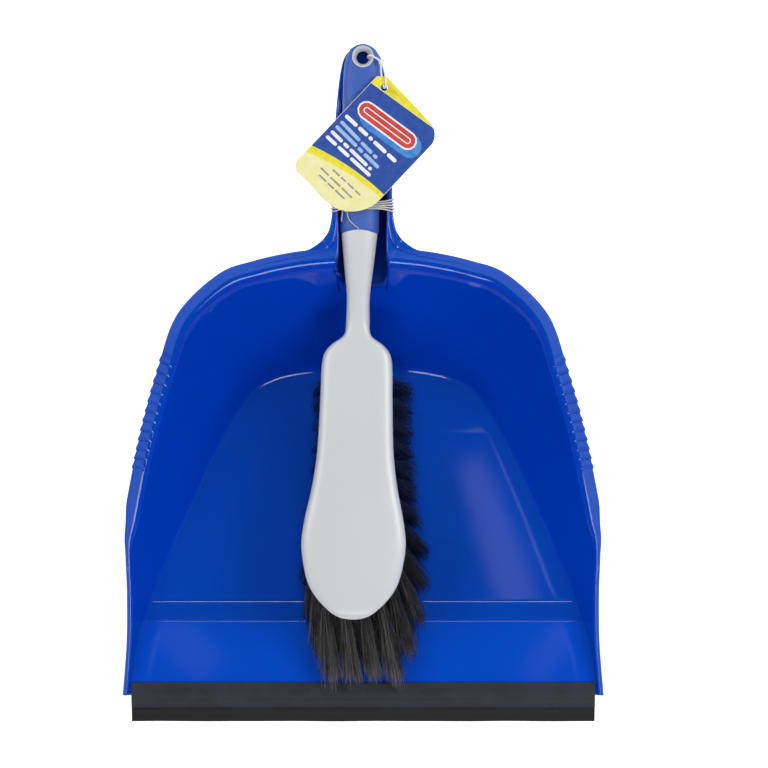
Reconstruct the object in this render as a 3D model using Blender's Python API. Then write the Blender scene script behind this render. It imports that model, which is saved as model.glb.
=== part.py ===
"""A dust pan and brush set: a scoop with a channel handle and a rubber lip, and a counter brush lying in it.

Every size below is in millimetres, and make_object turns them into metres. +X is to the right, -Y is the
pan's open front, +Z is up, and the pan rests on Z = 0.
"""

import math

import bmesh
import bpy
from mathutils import Matrix, Vector

MM = 0.001
GAP = 0.3

# Scoop
SHELL = 2.2
FRONT_Y = -201.0
BACK_Y = 80.5
FRONT_RIM_Z = 7.6
BACK_RIM_Z = 82.0
RIM_CURVE = 1.35
HEEL_Z = SHELL
HEEL_Y = -25.0
RIDGE_Z = 10.0
BAND_Z = 8.0
FRONT_FLOOR_Z = 4.6
BAND_BACK_Y = -139.0
BAND_FRONT_Y = -152.0
FLOOR_FILLET = 4.0
FLOOR_FILLET_SHARE = 0.35
RIM_FILLET = 2.5
RIM_FILLET_SHARE = 0.25
RIM_FILLET_FLANGE_SHARE = 0.3
RIM_EDGE_ROUND = 1.0
FOOT_RUN = 3.0
FOOT_SHARE = 0.3
FLANGE = 9.6
FLANGE_FRONT = 3.15
FLANGE_TAPER_Y = (-104.0, -62.0)
LIP_DEPTH = 6.0
LIP_DEPTH_FRONT = 2.6
LIP_WALL = 1.6
LIP_WALL_FRONT = 0.8
LIP_WALL_GAP = 0.15
STEPS_PER_STATION = 3

# Right half of the scoop in plan: the rim's inner edge (x, y) and the floor's edge (x, y) below it
STATIONS = (
    ((154.7, -201.0), (154.2, -201.0)),
    ((151.2, -165.0), (147.6, -165.0)),
    ((150.2, -132.4), (136.4, -132.4)),
    ((150.2, -102.0), (124.2, -102.0)),
    ((146.0, -82.0), (115.8, -82.0)),
    ((137.6, -48.1), (100.9, -48.5)),
    ((132.6, -27.5), (91.8, -30.5)),
    ((127.8, -10.1), (84.0, -17.0)),
    ((121.9, 9.0), (77.8, -7.5)),
    ((111.3, 40.8), (70.8, 0.6)),
    ((87.3, 64.6), (57.0, 7.2)),
    ((65.7, 72.6), (43.0, 10.6)),
    ((40.8, 77.9), (27.0, 12.8)),
    ((18.0, 80.2), (12.0, 13.9)),
    ((0.0, BACK_Y), (0.0, 14.2)),
)

# Finger ribs on the rim
RIB_COUNT = 12
RIB_PITCH = 5.85
RIB_WIDTH = 3.4
RIB_HEIGHT = 1.0
RIB_FRONT_Y = -48.0
RIB_OVERHANG = 1.8
RIB_INNER_EDGE = 2.4
RIB_DEPTH = 4.4
BOX_FACES = ((0, 1, 2, 3), (4, 5, 6, 7), (0, 1, 5, 4), (1, 2, 6, 5), (2, 3, 7, 6), (3, 0, 4, 7))

# Channel handle
HANDLE_HALF = 19.0
# Handle's half width (y, half) over its tapering and rounded end
HANDLE_PLAN = (
    (130.0, 19.0),
    (150.0, 18.5),
    (167.0, 17.6),
    (181.0, 16.6),
    (195.0, 15.2),
    (205.0, 13.6),
    (210.5, 12.0),
    (214.5, 9.6),
    (217.0, 6.6),
    (218.2, 4.0),
    (218.73, 1.6),
)
THROAT_Y = 88.0
FLARE_Y = 106.0
FLARE = 16.0
FLARE_POWER = 2.2
CHANNEL_HALF = 15.0
CHANNEL_FLARE = 3.6
CHANNEL_FLARE_RUN = 31.0
CHANNEL_DEPTH = 18.0
CHANNEL_LEAST_HALF = 0.4
HANDLE_SLOPE = 0.03
RIM_DROP_Y = (150.0, 190.0)
TIP_RIM_Z = 73.0
RIM_PLATE = 4.5
RIM_PLATE_SHARE = 0.45
PAN_HOLE_Y = 196.0
PAN_HOLE_R = 5.5
PAN_HOLE_SIDES = 28
PAN_CUT_Z = (50.0, 80.0)
# Sections: shares of the half width and of the height, from the side down and from the bottom up
HANDLE_EDGE = 0.8
HANDLE_UNDERCUT = 0.6
HANDLE_SECTION = ((1.0, 0.42), (0.85, 0.13), (0.55, 0.0), (0.0, 0.0))
CHANNEL_SECTION = ((0.0, 0.0), (0.5, 0.02), (0.82, 0.13), (0.97, 0.4), (1.0, 0.75))
HANDLE_PLACES = (THROAT_Y, 90.0, 92.5, 95.0, 98.0, 101.5, FLARE_Y, 118.0)
CHANNEL_PLACES = (44.0, 62.0, 74.0, 82.0, 90.0, 98.0, FLARE_Y, 118.0)
CHANNEL_END_Y = 214.5
CUT_TOP_Z = 110.0

# Rubber lip: outline of its section (y, z), drawn along X
LIP_HALF_LENGTH = 152.2
LIP_SECTION = (
    (-218.6, 0.0),
    (-218.6, 1.2),
    (-209.4, 3.2),
    (-209.0, 4.1),
    (-203.5, 6.2),
    (-193.0, 6.9),
    (-192.5, 5.6),
    (-201.4, 5.0),
    (-201.4, 2.0),
    (-193.5, 2.0),
    (-193.5, 0.0),
)

# Brush
BRUSH_PIVOT = (0.4, 216.0)
BRUSH_TURN = math.radians(-1.13)
RING_SIDES = 24
# Core: y, half width, lowest z, highest z
CORE_STATIONS = (
    (-147.2, 2.5, 62.0, 68.0),
    (-146.0, 8.0, 58.6, 71.4),
    (-142.8, 13.8, 56.2, 73.8),
    (-135.1, 22.0, 55.0, 75.0),
    (-126.2, 27.9, 55.0, 75.4),
    (-115.3, 31.3, 55.0, 75.6),
    (-99.0, 33.4, 55.0, 75.6),
    (-82.8, 31.5, 55.0, 75.6),
    (-65.6, 27.9, 55.0, 75.6),
    (-49.6, 25.4, 55.0, 75.6),
    (-33.1, 24.0, 55.0, 75.6),
    (-4.3, 23.1, 55.0, 75.6),
    (10.4, 22.8, 55.0, 75.6),
    (18.2, 22.2, 55.4, 75.6),
    (23.8, 20.4, 56.6, 75.7),
    (28.6, 16.2, 58.8, 75.8),
    (31.6, 11.8, 60.4, 76.0),
    (34.2, 8.9, 61.8, 76.2),
    (38.0, 7.8, 63.0, 76.6),
    (44.0, 7.6, 64.2, 77.2),
    (58.8, 7.4, 66.0, 79.4),
    (77.3, 9.3, 67.2, 82.0),
    (95.8, 11.2, 67.2, 84.6),
    (101.4, 11.6, 67.0, 85.2),
    (101.6, 9.0, 69.0, 83.0),
    (103.0, 9.0, 69.0, 83.0),
    (150.0, 9.0, 70.6, 84.4),
    (185.0, 8.8, 76.0, 86.6),
    (203.0, 7.0, 80.4, 87.2),
    (208.0, 5.6, 81.0, 87.4),
)
BLOCK_SQUARENESS = 4.5
NECK_SQUARENESS = 2.6
NECK_START_Y = 30.0
NECK_END_Y = 44.0

GRIP_FRONT_Y = 102.0
GRIP_TIP_Y = 218.8
GRIP_HALF = 12.3
# Grip's half width (y, half) over its rounded end
GRIP_PLAN = (
    (180.0, 12.3),
    (192.0, 12.25),
    (200.0, 12.0),
    (205.0, 11.6),
    (210.4, 10.5),
    (214.8, 8.5),
    (217.2, 5.7),
    (218.3, 3.2),
    (218.7, 1.4),
)
GRIP_LOW_Z = (65.8, 77.5)
GRIP_HIGH_Z = (86.2, 89.8)
GRIP_RISE_Y = (145.0, 195.0)
GRIP_SQUARENESS = 2.6
GRIP_TIP_TALL = 0.45
GRIP_TIP_GROWTH = 1.6
GRIP_PLACES = (GRIP_FRONT_Y, GRIP_FRONT_Y + 1.0, 120.0, 135.0, 150.0, 165.0)
GRIP_CAVITY_GAP = 0.35

HANG_HOLE_Y = 210.4
HANG_HOLE_R = 4.6
LINER_R = 6.0
LINER_Z = (78.6, 89.0)
LINER_SIDES = 24
HANG_CUT_Z = (70.0, 95.0)

# Tufts
TUFT_ROWS = 12
TUFT_PITCH_Y = 12.6
TUFT_BACK_Y = 6.0
TUFT_PITCH_X = 13.0
TUFT_EDGE = 6.5
TUFT_SIDES = 8
HOLE_SIDES = 10
HOLE_R = 2.5
HOLE_DEPTH = 5.0
BLOCK_UNDER_Z = 55.0
# A tuft's radius and share of its whole bend at its root, the block's underside, halfway down and its end
TUFT_RADII = (2.1, 2.1, 4.2, 5.2)
TUFT_BENDS = (0.0, 0.0, 0.5, 1.0)
TUFT_ROOT_GAP = 1.0
TUFT_BEND_START = 0.5
TUFT_MIDDLE = 0.45
TUFT_CLEARANCE = 0.7
TUFT_REACH = 6.0
LEAN_X = (3.5, 8.0)
LEAN_Y = (-8.0, -22.0)
SPLAY_X = (1.5, 1.22)
FAN_Y = (60.0, 135.0)
FAN_REACH = 34.0
FAN_LIFT = 12.0

# Tie: inner outline as (x, height above the rim), then (x, height above the channel's underside)
TIE_Y = (112.0, 121.0)
TIE_THICK = 1.0
TIE_OVER_RIM = 0.6
TIE_UNDER_HANDLE = 0.9
TIE_TOP_Z = 87.4
TIE_TOP_X = (-15.4, 12.6)
TIE_HALF = 19.7
TIE_SIDE = 6.0
TIE_LOW_CORNER = (17.9, 5.0)
TIE_LOW_HALF = 11.0

# Tag and loop
TAG_ANGLE = math.radians(-43.5)
TAG_HINGE = (13.8, 190.6, 92.0)
TAG_THICK = 0.5
TAG_HOLE_R = 2.2
TAG_HOLE_SIDES = 16
TAG_HOLE_UV = (8.25, -1.8)
# Card outline, its top left corner at (0, 0) and its length running to -y
TAG_LEFT = ((0.0, 0.0), (0.0, -72.0))
TAG_LOW_LEFT_ARC = ((7.0, -72.0), 7.0, 180.0, 250.0, 5)
TAG_BOTTOM = ((15.6, -78.4), (27.6, -79.6))
TAG_LOW_RIGHT_ARC = ((30.5, -55.0), 24.5, -82.0, 0.0, 9)
TAG_TOP_RIGHT_ARC = ((44.0, -9.0), 11.0, 0.0, 86.0, 6)
TAG_TOP = ((29.7, 3.1), (12.6, 3.8), (4.5, 4.3))
LOOP_R = 0.5
LOOP_STEPS = 3
LOCK_AT = (11.9, 206.6, 92.4)
LOCK_R = 1.7
LOCK_SIDES = 8
LOCK_ROWS = 4
LOOP_ROUTE = (
    (6.0, 210.6, 91.6),
    (3.9, 210.7, 90.6),
    (3.4, 210.7, 85.0),
    (3.5, 210.6, 79.0),
    (5.2, 210.3, 75.6),
    (9.0, 209.8, 75.2),
    (12.8, 209.2, 78.0),
    (13.9, 208.6, 84.0),
    (13.5, 207.8, 89.6),
    (12.6, 206.4, 92.2),
    (14.0, 200.5, 93.6),
    (14.9, 194.5, 94.0),
    (14.3, 191.0, 93.0),
    (13.7, 190.5, 91.0),
    (12.8, 193.2, 90.4),
    (12.0, 199.0, 91.0),
    (11.1, 206.8, 92.6),
)


def clear_scene():
    for item in list(bpy.data.objects):
        bpy.data.objects.remove(item, do_unlink=True)


def make_material(name, colour, roughness, metallic=0.0):
    material = bpy.data.materials.new(name)
    material.use_nodes = True
    shader = material.node_tree.nodes["Principled BSDF"]
    shader.inputs["Base Color"].default_value = (*colour, 1.0)
    shader.inputs["Roughness"].default_value = roughness
    shader.inputs["Metallic"].default_value = metallic
    return material


def link(item, material=None, parent=None):
    bpy.context.scene.collection.objects.link(item)
    if material:
        item.data.materials.append(material)
    if parent:
        item.parent = parent
    return item


def make_object(name, points, faces, material=None, parent=None, smooth_angle=35.0):
    """One closed mesh from points in millimetres, welded, triangulated and facing out."""
    mesh = bpy.data.meshes.new(name)
    build = bmesh.new()
    corners = [build.verts.new(Vector(point) * MM) for point in points]
    for face in faces:
        build.faces.new([corners[index] for index in face])
    bmesh.ops.remove_doubles(build, verts=build.verts, dist=0.001 * MM)
    bmesh.ops.dissolve_degenerate(build, edges=build.edges, dist=0.001 * MM)
    bmesh.ops.triangulate(build, faces=build.faces, quad_method="BEAUTY", ngon_method="EAR_CLIP")
    bmesh.ops.recalc_face_normals(build, faces=build.faces)
    build.to_mesh(mesh)
    build.free()
    mesh.shade_smooth()
    mesh.set_sharp_from_angle(angle=math.radians(smooth_angle))
    return link(bpy.data.objects.new(name, mesh), material, parent)


def make_loft(name, rings, material=None, parent=None, **options):
    """Skin over closed rings of equal length, capped at both ends."""
    sides = len(rings[0])
    points = [point for ring in rings for point in ring]
    faces = [tuple(range(sides)), tuple(range(len(points) - sides, len(points)))]
    for row in range(len(rings) - 1):
        for side in range(sides):
            low = row * sides
            after = (side + 1) % sides
            faces.append((low + side, low + after, low + sides + after, low + sides + side))
    return make_object(name, points, faces, material, parent, **options)


def round_ring(centre, radius, z, sides):
    angles = [math.tau * side / sides for side in range(sides)]
    return [(centre[0] + radius * math.cos(a), centre[1] + radius * math.sin(a), z) for a in angles]


def make_rod(name, centre, radius, heights, sides, parent=None):
    """Upright round bar."""
    return make_loft(name, [round_ring(centre, radius, z, sides) for z in heights], parent=parent)


def combine(target, tool, operation):
    """Boolean with a hidden tool object."""
    tool.hide_render = True
    tool.display_type = "WIRE"
    change = target.modifiers.new(tool.name, "BOOLEAN")
    change.operation = operation
    change.solver = "EXACT"
    change.object = tool


def blend(low, high, share):
    return low + (high - low) * share


def smooth_step(value, low, high):
    share = min(1.0, max(0.0, (value - low) / (high - low)))
    return share * share * (3.0 - 2.0 * share)


def curve_point(before, start, end, after, share):
    """Catmull-Rom point between start and end."""
    result = []
    for a, b, c, d in zip(before, start, end, after):
        result.append(
            b
            + 0.5 * share * (c - a)
            + share**2 * (a - 2.5 * b + 2.0 * c - 0.5 * d)
            + share**3 * (1.5 * (b - c) + 0.5 * (d - a))
        )
    return result


def smooth_rows(rows, steps, mirror_end=False):
    """The rows with steps points between each two, on a smooth curve."""
    last = len(rows) - 1
    found = []
    for index in range(last):
        before = rows[max(index - 1, 0)]
        after = rows[min(index + 2, last)]
        if mirror_end and index == last - 1:
            after = [-rows[last - 1][0], rows[last - 1][1], -rows[last - 1][2], rows[last - 1][3]]
        for step in range(steps):
            found.append(curve_point(before, rows[index], rows[index + 1], after, step / steps))
    found.append(list(rows[last]))
    return found


def rim_height(y):
    share = min(1.0, max(0.0, (y - FRONT_Y) / (BACK_Y - FRONT_Y)))
    return FRONT_RIM_Z + (BACK_RIM_Z - FRONT_RIM_Z) * (1.0 - (1.0 - share) ** RIM_CURVE)


def floor_height(y):
    """Top of the floor: flat at the heel, rising to a ridge behind the band, then falling to the front."""
    if y >= BAND_BACK_Y:
        return blend(RIDGE_Z, HEEL_Z, smooth_step(y, BAND_BACK_Y, HEEL_Y))
    if y >= BAND_FRONT_Y:
        return blend(BAND_Z, RIDGE_Z, (y - BAND_FRONT_Y) / (BAND_BACK_Y - BAND_FRONT_Y))
    return blend(FRONT_FLOOR_Z, BAND_Z, (y - FRONT_Y) / (BAND_FRONT_Y - FRONT_Y))


def flange_width(y):
    return blend(FLANGE_FRONT, FLANGE, smooth_step(y, *FLANGE_TAPER_Y))


def wall_top(run, low, high, flange):
    """Upper side of the wall and rim, from the floor out: (distance from the floor's edge, z)."""
    length = math.hypot(run, high - low)
    out, up = run / length, (high - low) / length
    fillet = min(FLOOR_FILLET, FLOOR_FILLET_SHARE * length)
    round_rim = min(RIM_FILLET, RIM_FILLET_SHARE * length, RIM_FILLET_FLANGE_SHARE * flange)
    edge = run + flange
    return (
        (-fillet, low),
        (0.25 * fillet * (out - 1.0), low + 0.25 * fillet * up),
        (fillet * out, low + fillet * up),
        (0.5 * run, 0.5 * (low + high)),
        (run - round_rim * out, high - round_rim * up),
        (run + 0.25 * round_rim * (1.0 - out), high - 0.25 * round_rim * up),
        (run + round_rim, high),
        (edge - RIM_EDGE_ROUND, high),
        (edge - 0.3 * RIM_EDGE_ROUND, high - 0.3 * RIM_EDGE_ROUND),
        (edge, high - RIM_EDGE_ROUND),
    )


def wall_underside(run, low, high, flange, rear):
    """Underside of the rim, its outer lip and the wall, from the lip back in to the floor."""
    rise = high - low
    length = math.hypot(run, rise)
    edge = run + flange
    lip = blend(LIP_DEPTH_FRONT, LIP_DEPTH, rear)
    under = high - SHELL

    def outside(z):
        return run + SHELL * rise / length - (high - SHELL * run / length - z) * run / rise

    inner = max(edge - blend(LIP_WALL_FRONT, LIP_WALL, rear), outside(under) + LIP_WALL_GAP)
    foot = min(FOOT_RUN, FOOT_SHARE * rise)
    return (
        (edge, high - lip),
        (inner, high - lip),
        (inner, under),
        (outside(under), under),
        (outside(low - SHELL + foot), low - SHELL + foot),
        (outside(low - SHELL) - foot, low - SHELL),
    )


def scoop_ring(station):
    """Closed section of the whole scoop through one station and its mirror image."""
    rim = Vector(station[:2])
    edge = Vector(station[2:])
    across = rim - edge
    way = across.normalized()
    size = (across.length, floor_height(edge.y), rim_height(rim.y), flange_width(rim.y))
    section = wall_top(*size) + wall_underside(*size, smooth_step(rim.y, *FLANGE_TAPER_Y))
    side = [(edge.x + way.x * out, edge.y + way.y * out, z) for out, z in section]
    side[0] = (side[0][0], side[0][1], floor_height(side[0][1]))
    side[-1] = (side[-1][0], side[-1][1], floor_height(side[-1][1]) - SHELL)
    top, under = side[0], side[-1]
    half = [(0.0, top[1], top[2]), *side, (0.0, under[1], under[2])]
    return half + [(-x, y, z) for x, y, z in reversed(half[1:-1])]


def scoop_stations():
    rows = [(*rim, *edge) for rim, edge in STATIONS]
    found = smooth_rows(rows, STEPS_PER_STATION, mirror_end=True)
    for crease in (BAND_FRONT_Y, BAND_BACK_Y, HEEL_Y):
        nearest = min(range(1, len(found) - 1), key=lambda index: abs(found[index][3] - crease))
        found[nearest][1] = crease
        found[nearest][3] = crease
    return found


def make_scoop(material):
    return make_loft("pan_shell", [scoop_ring(station) for station in scoop_stations()], material)


def plan_half(plan, y):
    """Half width at y from a table of (y, half), constant before its first row."""
    if y <= plan[0][0]:
        return plan[0][1]
    for (y0, half0), (y1, half1) in zip(plan, plan[1:]):
        if y <= y1:
            return blend(half0, half1, (y - y0) / (y1 - y0))
    return plan[-1][1]


def handle_half(y):
    if y < FLARE_Y:
        return HANDLE_HALF + FLARE * ((FLARE_Y - y) / (FLARE_Y - THROAT_Y)) ** FLARE_POWER
    return plan_half(HANDLE_PLAN, y)


def handle_rim_z(y):
    level = BACK_RIM_Z + HANDLE_SLOPE * max(0.0, y - THROAT_Y)
    return blend(level, TIP_RIM_Z, smooth_step(y, *RIM_DROP_Y))


def channel_z(y):
    return BACK_RIM_Z - CHANNEL_DEPTH + HANDLE_SLOPE * max(0.0, y - THROAT_Y)


def channel_half(y):
    if y < FLARE_Y:
        return CHANNEL_HALF + CHANNEL_FLARE * ((FLARE_Y - y) / CHANNEL_FLARE_RUN) ** 2
    return max(CHANNEL_LEAST_HALF, handle_half(y) - (HANDLE_HALF - CHANNEL_HALF))


def back_wall_y(z):
    """Middle of the back wall's thickness at this height, on the centre line."""
    foot_y = STATIONS[-1][1][1]
    return foot_y + (BACK_Y - foot_y) * (z - HEEL_Z) / (BACK_RIM_Z - HEEL_Z) + 0.45 * SHELL


def mirrored(half):
    """Closed ring from its right half, whose first and last points lie on the centre line."""
    return half + [(-x, y, z) for x, y, z in reversed(half[1:-1])]


def handle_ring(y, buried=False):
    """Section of the solid handle bar; the buried one lies inside the scoop's sloping back wall."""
    half = handle_half(y)
    body = min(channel_half(y) + SHELL, half - RIM_EDGE_ROUND)
    high = handle_rim_z(y)
    low = channel_z(y) - SHELL
    plate = min(RIM_PLATE, RIM_PLATE_SHARE * (high - low))
    ring = [
        (0.0, high),
        (half - HANDLE_EDGE, high),
        (half, high - HANDLE_EDGE),
        (half, high - plate),
        (body, high - plate - HANDLE_UNDERCUT),
    ]
    ring += [(share * body, blend(low, high, rise)) for share, rise in HANDLE_SECTION]
    return mirrored([(x, back_wall_y(z) if buried else y, z) for x, z in ring])


def make_handle():
    rings = [handle_ring(THROAT_Y, buried=True)]
    rings += [handle_ring(y) for y in HANDLE_PLACES]
    rings += [handle_ring(y) for y, _ in HANDLE_PLAN]
    return make_loft("handle_bar", rings)


def channel_ring(y):
    """Section of the space inside the channel, carried up past the rim."""
    half = channel_half(y)
    low = channel_z(y)
    high = handle_rim_z(y)
    ring = [(share * half, blend(low, high, rise)) for share, rise in CHANNEL_SECTION]
    ring += [(half, CUT_TOP_Z), (0.0, CUT_TOP_Z)]
    return mirrored([(x, y, z) for x, z in ring])


def make_channel():
    ending = [y for y, _ in HANDLE_PLAN if y <= CHANNEL_END_Y]
    return make_loft("channel_cut", [channel_ring(y) for y in (*CHANNEL_PLACES, *ending)])


def outer_edge_x(y):
    """X of the rim's outer edge at this y, on the right side."""
    stations = scoop_stations()
    for first, second in zip(stations, stations[1:]):
        if first[1] <= y <= second[1]:
            share = (y - first[1]) / (second[1] - first[1])
            return blend(first[0], second[0], share) + flange_width(y)
    return HANDLE_HALF


def make_finger_ribs():
    """Raised ribs across the rim, on both sides, as one tool."""
    points = []
    faces = []
    for index in range(RIB_COUNT):
        ys = (RIB_FRONT_Y + index * RIB_PITCH, RIB_FRONT_Y + index * RIB_PITCH + RIB_WIDTH)
        outer = outer_edge_x(ys[1]) + RIB_OVERHANG
        top = rim_height(0.5 * sum(ys)) + RIB_HEIGHT
        for side in (-1.0, 1.0):
            start = len(points)
            xs = (side * (outer - FLANGE + RIB_INNER_EDGE), side * outer)
            for z in (top - RIB_DEPTH, top):
                points += [(xs[0], ys[0], z), (xs[1], ys[0], z), (xs[1], ys[1], z), (xs[0], ys[1], z)]
            faces += [tuple(start + corner for corner in face) for face in BOX_FACES]
    return make_object("finger_ribs", points, faces)


def make_pan(material):
    pan = make_scoop(material)
    combine(pan, make_handle(), "UNION")
    combine(pan, make_finger_ribs(), "UNION")
    combine(pan, make_channel(), "DIFFERENCE")
    hole = make_rod("pan_hole", (0.0, PAN_HOLE_Y), PAN_HOLE_R, PAN_CUT_Z, PAN_HOLE_SIDES)
    combine(pan, hole, "DIFFERENCE")


def make_rubber_lip(material):
    rings = [[(x, y, z) for y, z in LIP_SECTION] for x in (-LIP_HALF_LENGTH, LIP_HALF_LENGTH)]
    make_loft("rubber_lip", rings, material, smooth_angle=20.0)


def rounded_ring(y, half, low, high, squareness, grow=0.0):
    """Ring round the Y axis with squared-off roundness: 2 is an ellipse, more is squarer."""
    middle = 0.5 * (low + high)
    tall = 0.5 * (high - low) + grow
    ring = []
    for side in range(RING_SIDES):
        angle = math.tau * (side + 0.5) / RING_SIDES
        sine, cosine = math.sin(angle), math.cos(angle)
        size = (abs(cosine) ** squareness + abs(sine) ** squareness) ** (-1.0 / squareness)
        ring.append(((half + grow) * size * cosine, y, middle + tall * size * sine))
    return ring


def core_squareness(y):
    return blend(BLOCK_SQUARENESS, NECK_SQUARENESS, smooth_step(y, NECK_START_Y, NECK_END_Y))


def core_rings(stations, grow=0.0):
    return [rounded_ring(y, half, low, high, core_squareness(y), grow) for y, half, low, high in stations]


def tuft_places():
    """Root centres (x, y) in rows that follow the block's width."""
    widths = [(row[0], row[1]) for row in CORE_STATIONS]
    places = []
    for row in range(TUFT_ROWS):
        y = TUFT_BACK_Y - row * TUFT_PITCH_Y
        for (y0, w0), (y1, w1) in zip(widths, widths[1:]):
            if y0 <= y <= y1:
                half = blend(w0, w1, (y - y0) / (y1 - y0)) - TUFT_EDGE
        count = max(2, 1 + round(2.0 * half / TUFT_PITCH_X))
        places += [(blend(-half, half, index / (count - 1)), y) for index in range(count)]
    return places


def tuft_tip(x, y):
    """Where a tuft's end lies, leaning right and forward, and how much it fans out and up at the front."""
    forward = smooth_step(-y, 0.0, -CORE_STATIONS[0][0])
    fan = smooth_step(-y, *FAN_Y)
    tip_x = x * blend(*SPLAY_X, forward) + blend(*LEAN_X, forward)
    return tip_x, y + blend(*LEAN_Y, forward) - FAN_REACH * fan, FAN_LIFT * fan


def tuft_rings(x, y):
    """Rings of one tuft from its root in the block down to just above the pan's floor."""
    tip_x, tip_y, lift = tuft_tip(x, y)
    ground = max(floor_height(tip_y - TUFT_REACH), floor_height(tip_y + TUFT_REACH))
    levels = (
        BLOCK_UNDER_Z + HOLE_DEPTH - TUFT_ROOT_GAP,
        BLOCK_UNDER_Z - TUFT_BEND_START,
        TUFT_MIDDLE * (BLOCK_UNDER_Z + lift),
        ground + TUFT_CLEARANCE + lift,
    )
    rings = []
    for z, size, bend in zip(levels, TUFT_RADII, TUFT_BENDS):
        rings.append(round_ring((blend(x, tip_x, bend), blend(y, tip_y, bend)), size, z, TUFT_SIDES))
    return rings


def make_tuft_holes(parent):
    """All blind holes as one tool of separate rods."""
    points = []
    faces = []
    for x, y in tuft_places():
        start = len(points)
        for z in (BLOCK_UNDER_Z - HOLE_DEPTH, BLOCK_UNDER_Z + HOLE_DEPTH):
            points += round_ring((x, y), HOLE_R, z, HOLE_SIDES)
        faces.append(tuple(range(start, start + HOLE_SIDES)))
        faces.append(tuple(range(start + HOLE_SIDES, start + 2 * HOLE_SIDES)))
        for side in range(HOLE_SIDES):
            after = (side + 1) % HOLE_SIDES
            faces.append((start + side, start + after, start + HOLE_SIDES + after, start + HOLE_SIDES + side))
    return make_object("tuft_holes", points, faces, parent=parent)


def make_brush_core(material, parent):
    core = make_loft("brush_core", core_rings(CORE_STATIONS), material, parent)
    hang_at = (0.0, HANG_HOLE_Y)
    combine(core, make_rod("liner", hang_at, LINER_R, LINER_Z, LINER_SIDES, parent), "UNION")
    hole = make_rod("core_hole", hang_at, HANG_HOLE_R, HANG_CUT_Z, LINER_SIDES, parent)
    combine(core, hole, "DIFFERENCE")
    combine(core, make_tuft_holes(parent), "DIFFERENCE")


def grip_ring(y):
    half = plan_half(GRIP_PLAN, y)
    roundness = half / GRIP_HALF
    rise = smooth_step(y, *GRIP_RISE_Y)
    low = blend(*GRIP_LOW_Z, rise)
    high = blend(*GRIP_HIGH_Z, (y - GRIP_FRONT_Y) / (GRIP_TIP_Y - GRIP_FRONT_Y))
    middle = 0.5 * (low + high)
    tall = 0.5 * (high - low) * blend(GRIP_TIP_TALL, 1.0, min(1.0, GRIP_TIP_GROWTH * roundness))
    return rounded_ring(y, half, middle - tall, middle + tall, GRIP_SQUARENESS)


def make_brush_grip(material, parent):
    """Overmould with the core's cavity inside it and a hole that the core's liner passes through."""
    rings = [grip_ring(y) for y in GRIP_PLACES] + [grip_ring(y) for y, _ in GRIP_PLAN]
    grip = make_loft("brush_grip", rings, material, parent)
    inner = [row for row in CORE_STATIONS if row[0] > GRIP_FRONT_Y]
    first = (GRIP_FRONT_Y - 1.0, *inner[0][1:])
    last = (inner[-1][0] + GRIP_CAVITY_GAP, *inner[-1][1:])
    cavity = make_loft("grip_cavity", core_rings([first, *inner[:-1], last], GRIP_CAVITY_GAP), parent=parent)
    combine(grip, cavity, "DIFFERENCE")
    hole = make_rod("grip_hole", (0.0, HANG_HOLE_Y), LINER_R + GAP, HANG_CUT_Z, LINER_SIDES, parent)
    combine(grip, hole, "DIFFERENCE")


def make_tufts(material, parent):
    for number, (x, y) in enumerate(tuft_places(), 1):
        make_loft(f"tuft_{number:02d}", tuft_rings(x, y), material, parent)


def tie_outline():
    """Inner outline (x, z) of the tie, clockwise from its right side below the rim."""
    middle = 0.5 * sum(TIE_Y)
    low = channel_z(middle) - SHELL - TIE_UNDER_HANDLE
    rim = handle_rim_z(middle) + TIE_OVER_RIM
    corner_x, corner_z = TIE_LOW_CORNER
    return (
        (TIE_HALF, rim - TIE_SIDE),
        (TIE_HALF, rim),
        (TIE_TOP_X[1], TIE_TOP_Z),
        (TIE_TOP_X[0], TIE_TOP_Z),
        (-TIE_HALF, rim),
        (-TIE_HALF, rim - TIE_SIDE),
        (-corner_x, low + corner_z),
        (-TIE_LOW_HALF, low),
        (TIE_LOW_HALF, low),
        (corner_x, low + corner_z),
    )


def make_tie(material):
    """Plain band round both handles, the outer shape of the wound elastic."""
    inner = tie_outline()
    lowest = min(z for _, z in inner)
    centre = Vector((0.0, 0.5 * (lowest + TIE_TOP_Z)))
    outer = [Vector(point) + (Vector(point) - centre).normalized() * TIE_THICK for point in inner]
    rings = ((inner, TIE_Y[0]), (inner, TIE_Y[1]), (outer, TIE_Y[1]), (outer, TIE_Y[0]))
    sides = len(inner)
    points = [(x, y, z) for ring, y in rings for x, z in ring]
    faces = []
    for row in range(len(rings)):
        for side in range(sides):
            low_row, high_row = row * sides, (row + 1) % len(rings) * sides
            after = (side + 1) % sides
            faces.append((low_row + side, low_row + after, high_row + after, high_row + side))
    make_object("tie_band", points, faces, material)


def corner_arc(centre, radius, start, end, steps):
    angles = [math.radians(blend(start, end, step / steps)) for step in range(steps + 1)]
    return [(centre[0] + radius * math.cos(a), centre[1] + radius * math.sin(a)) for a in angles]


def tag_outline():
    outline = [*TAG_LEFT, *corner_arc(*TAG_LOW_LEFT_ARC), *TAG_BOTTOM]
    outline += [*corner_arc(*TAG_LOW_RIGHT_ARC), *corner_arc(*TAG_TOP_RIGHT_ARC), *TAG_TOP]
    return outline


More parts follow.
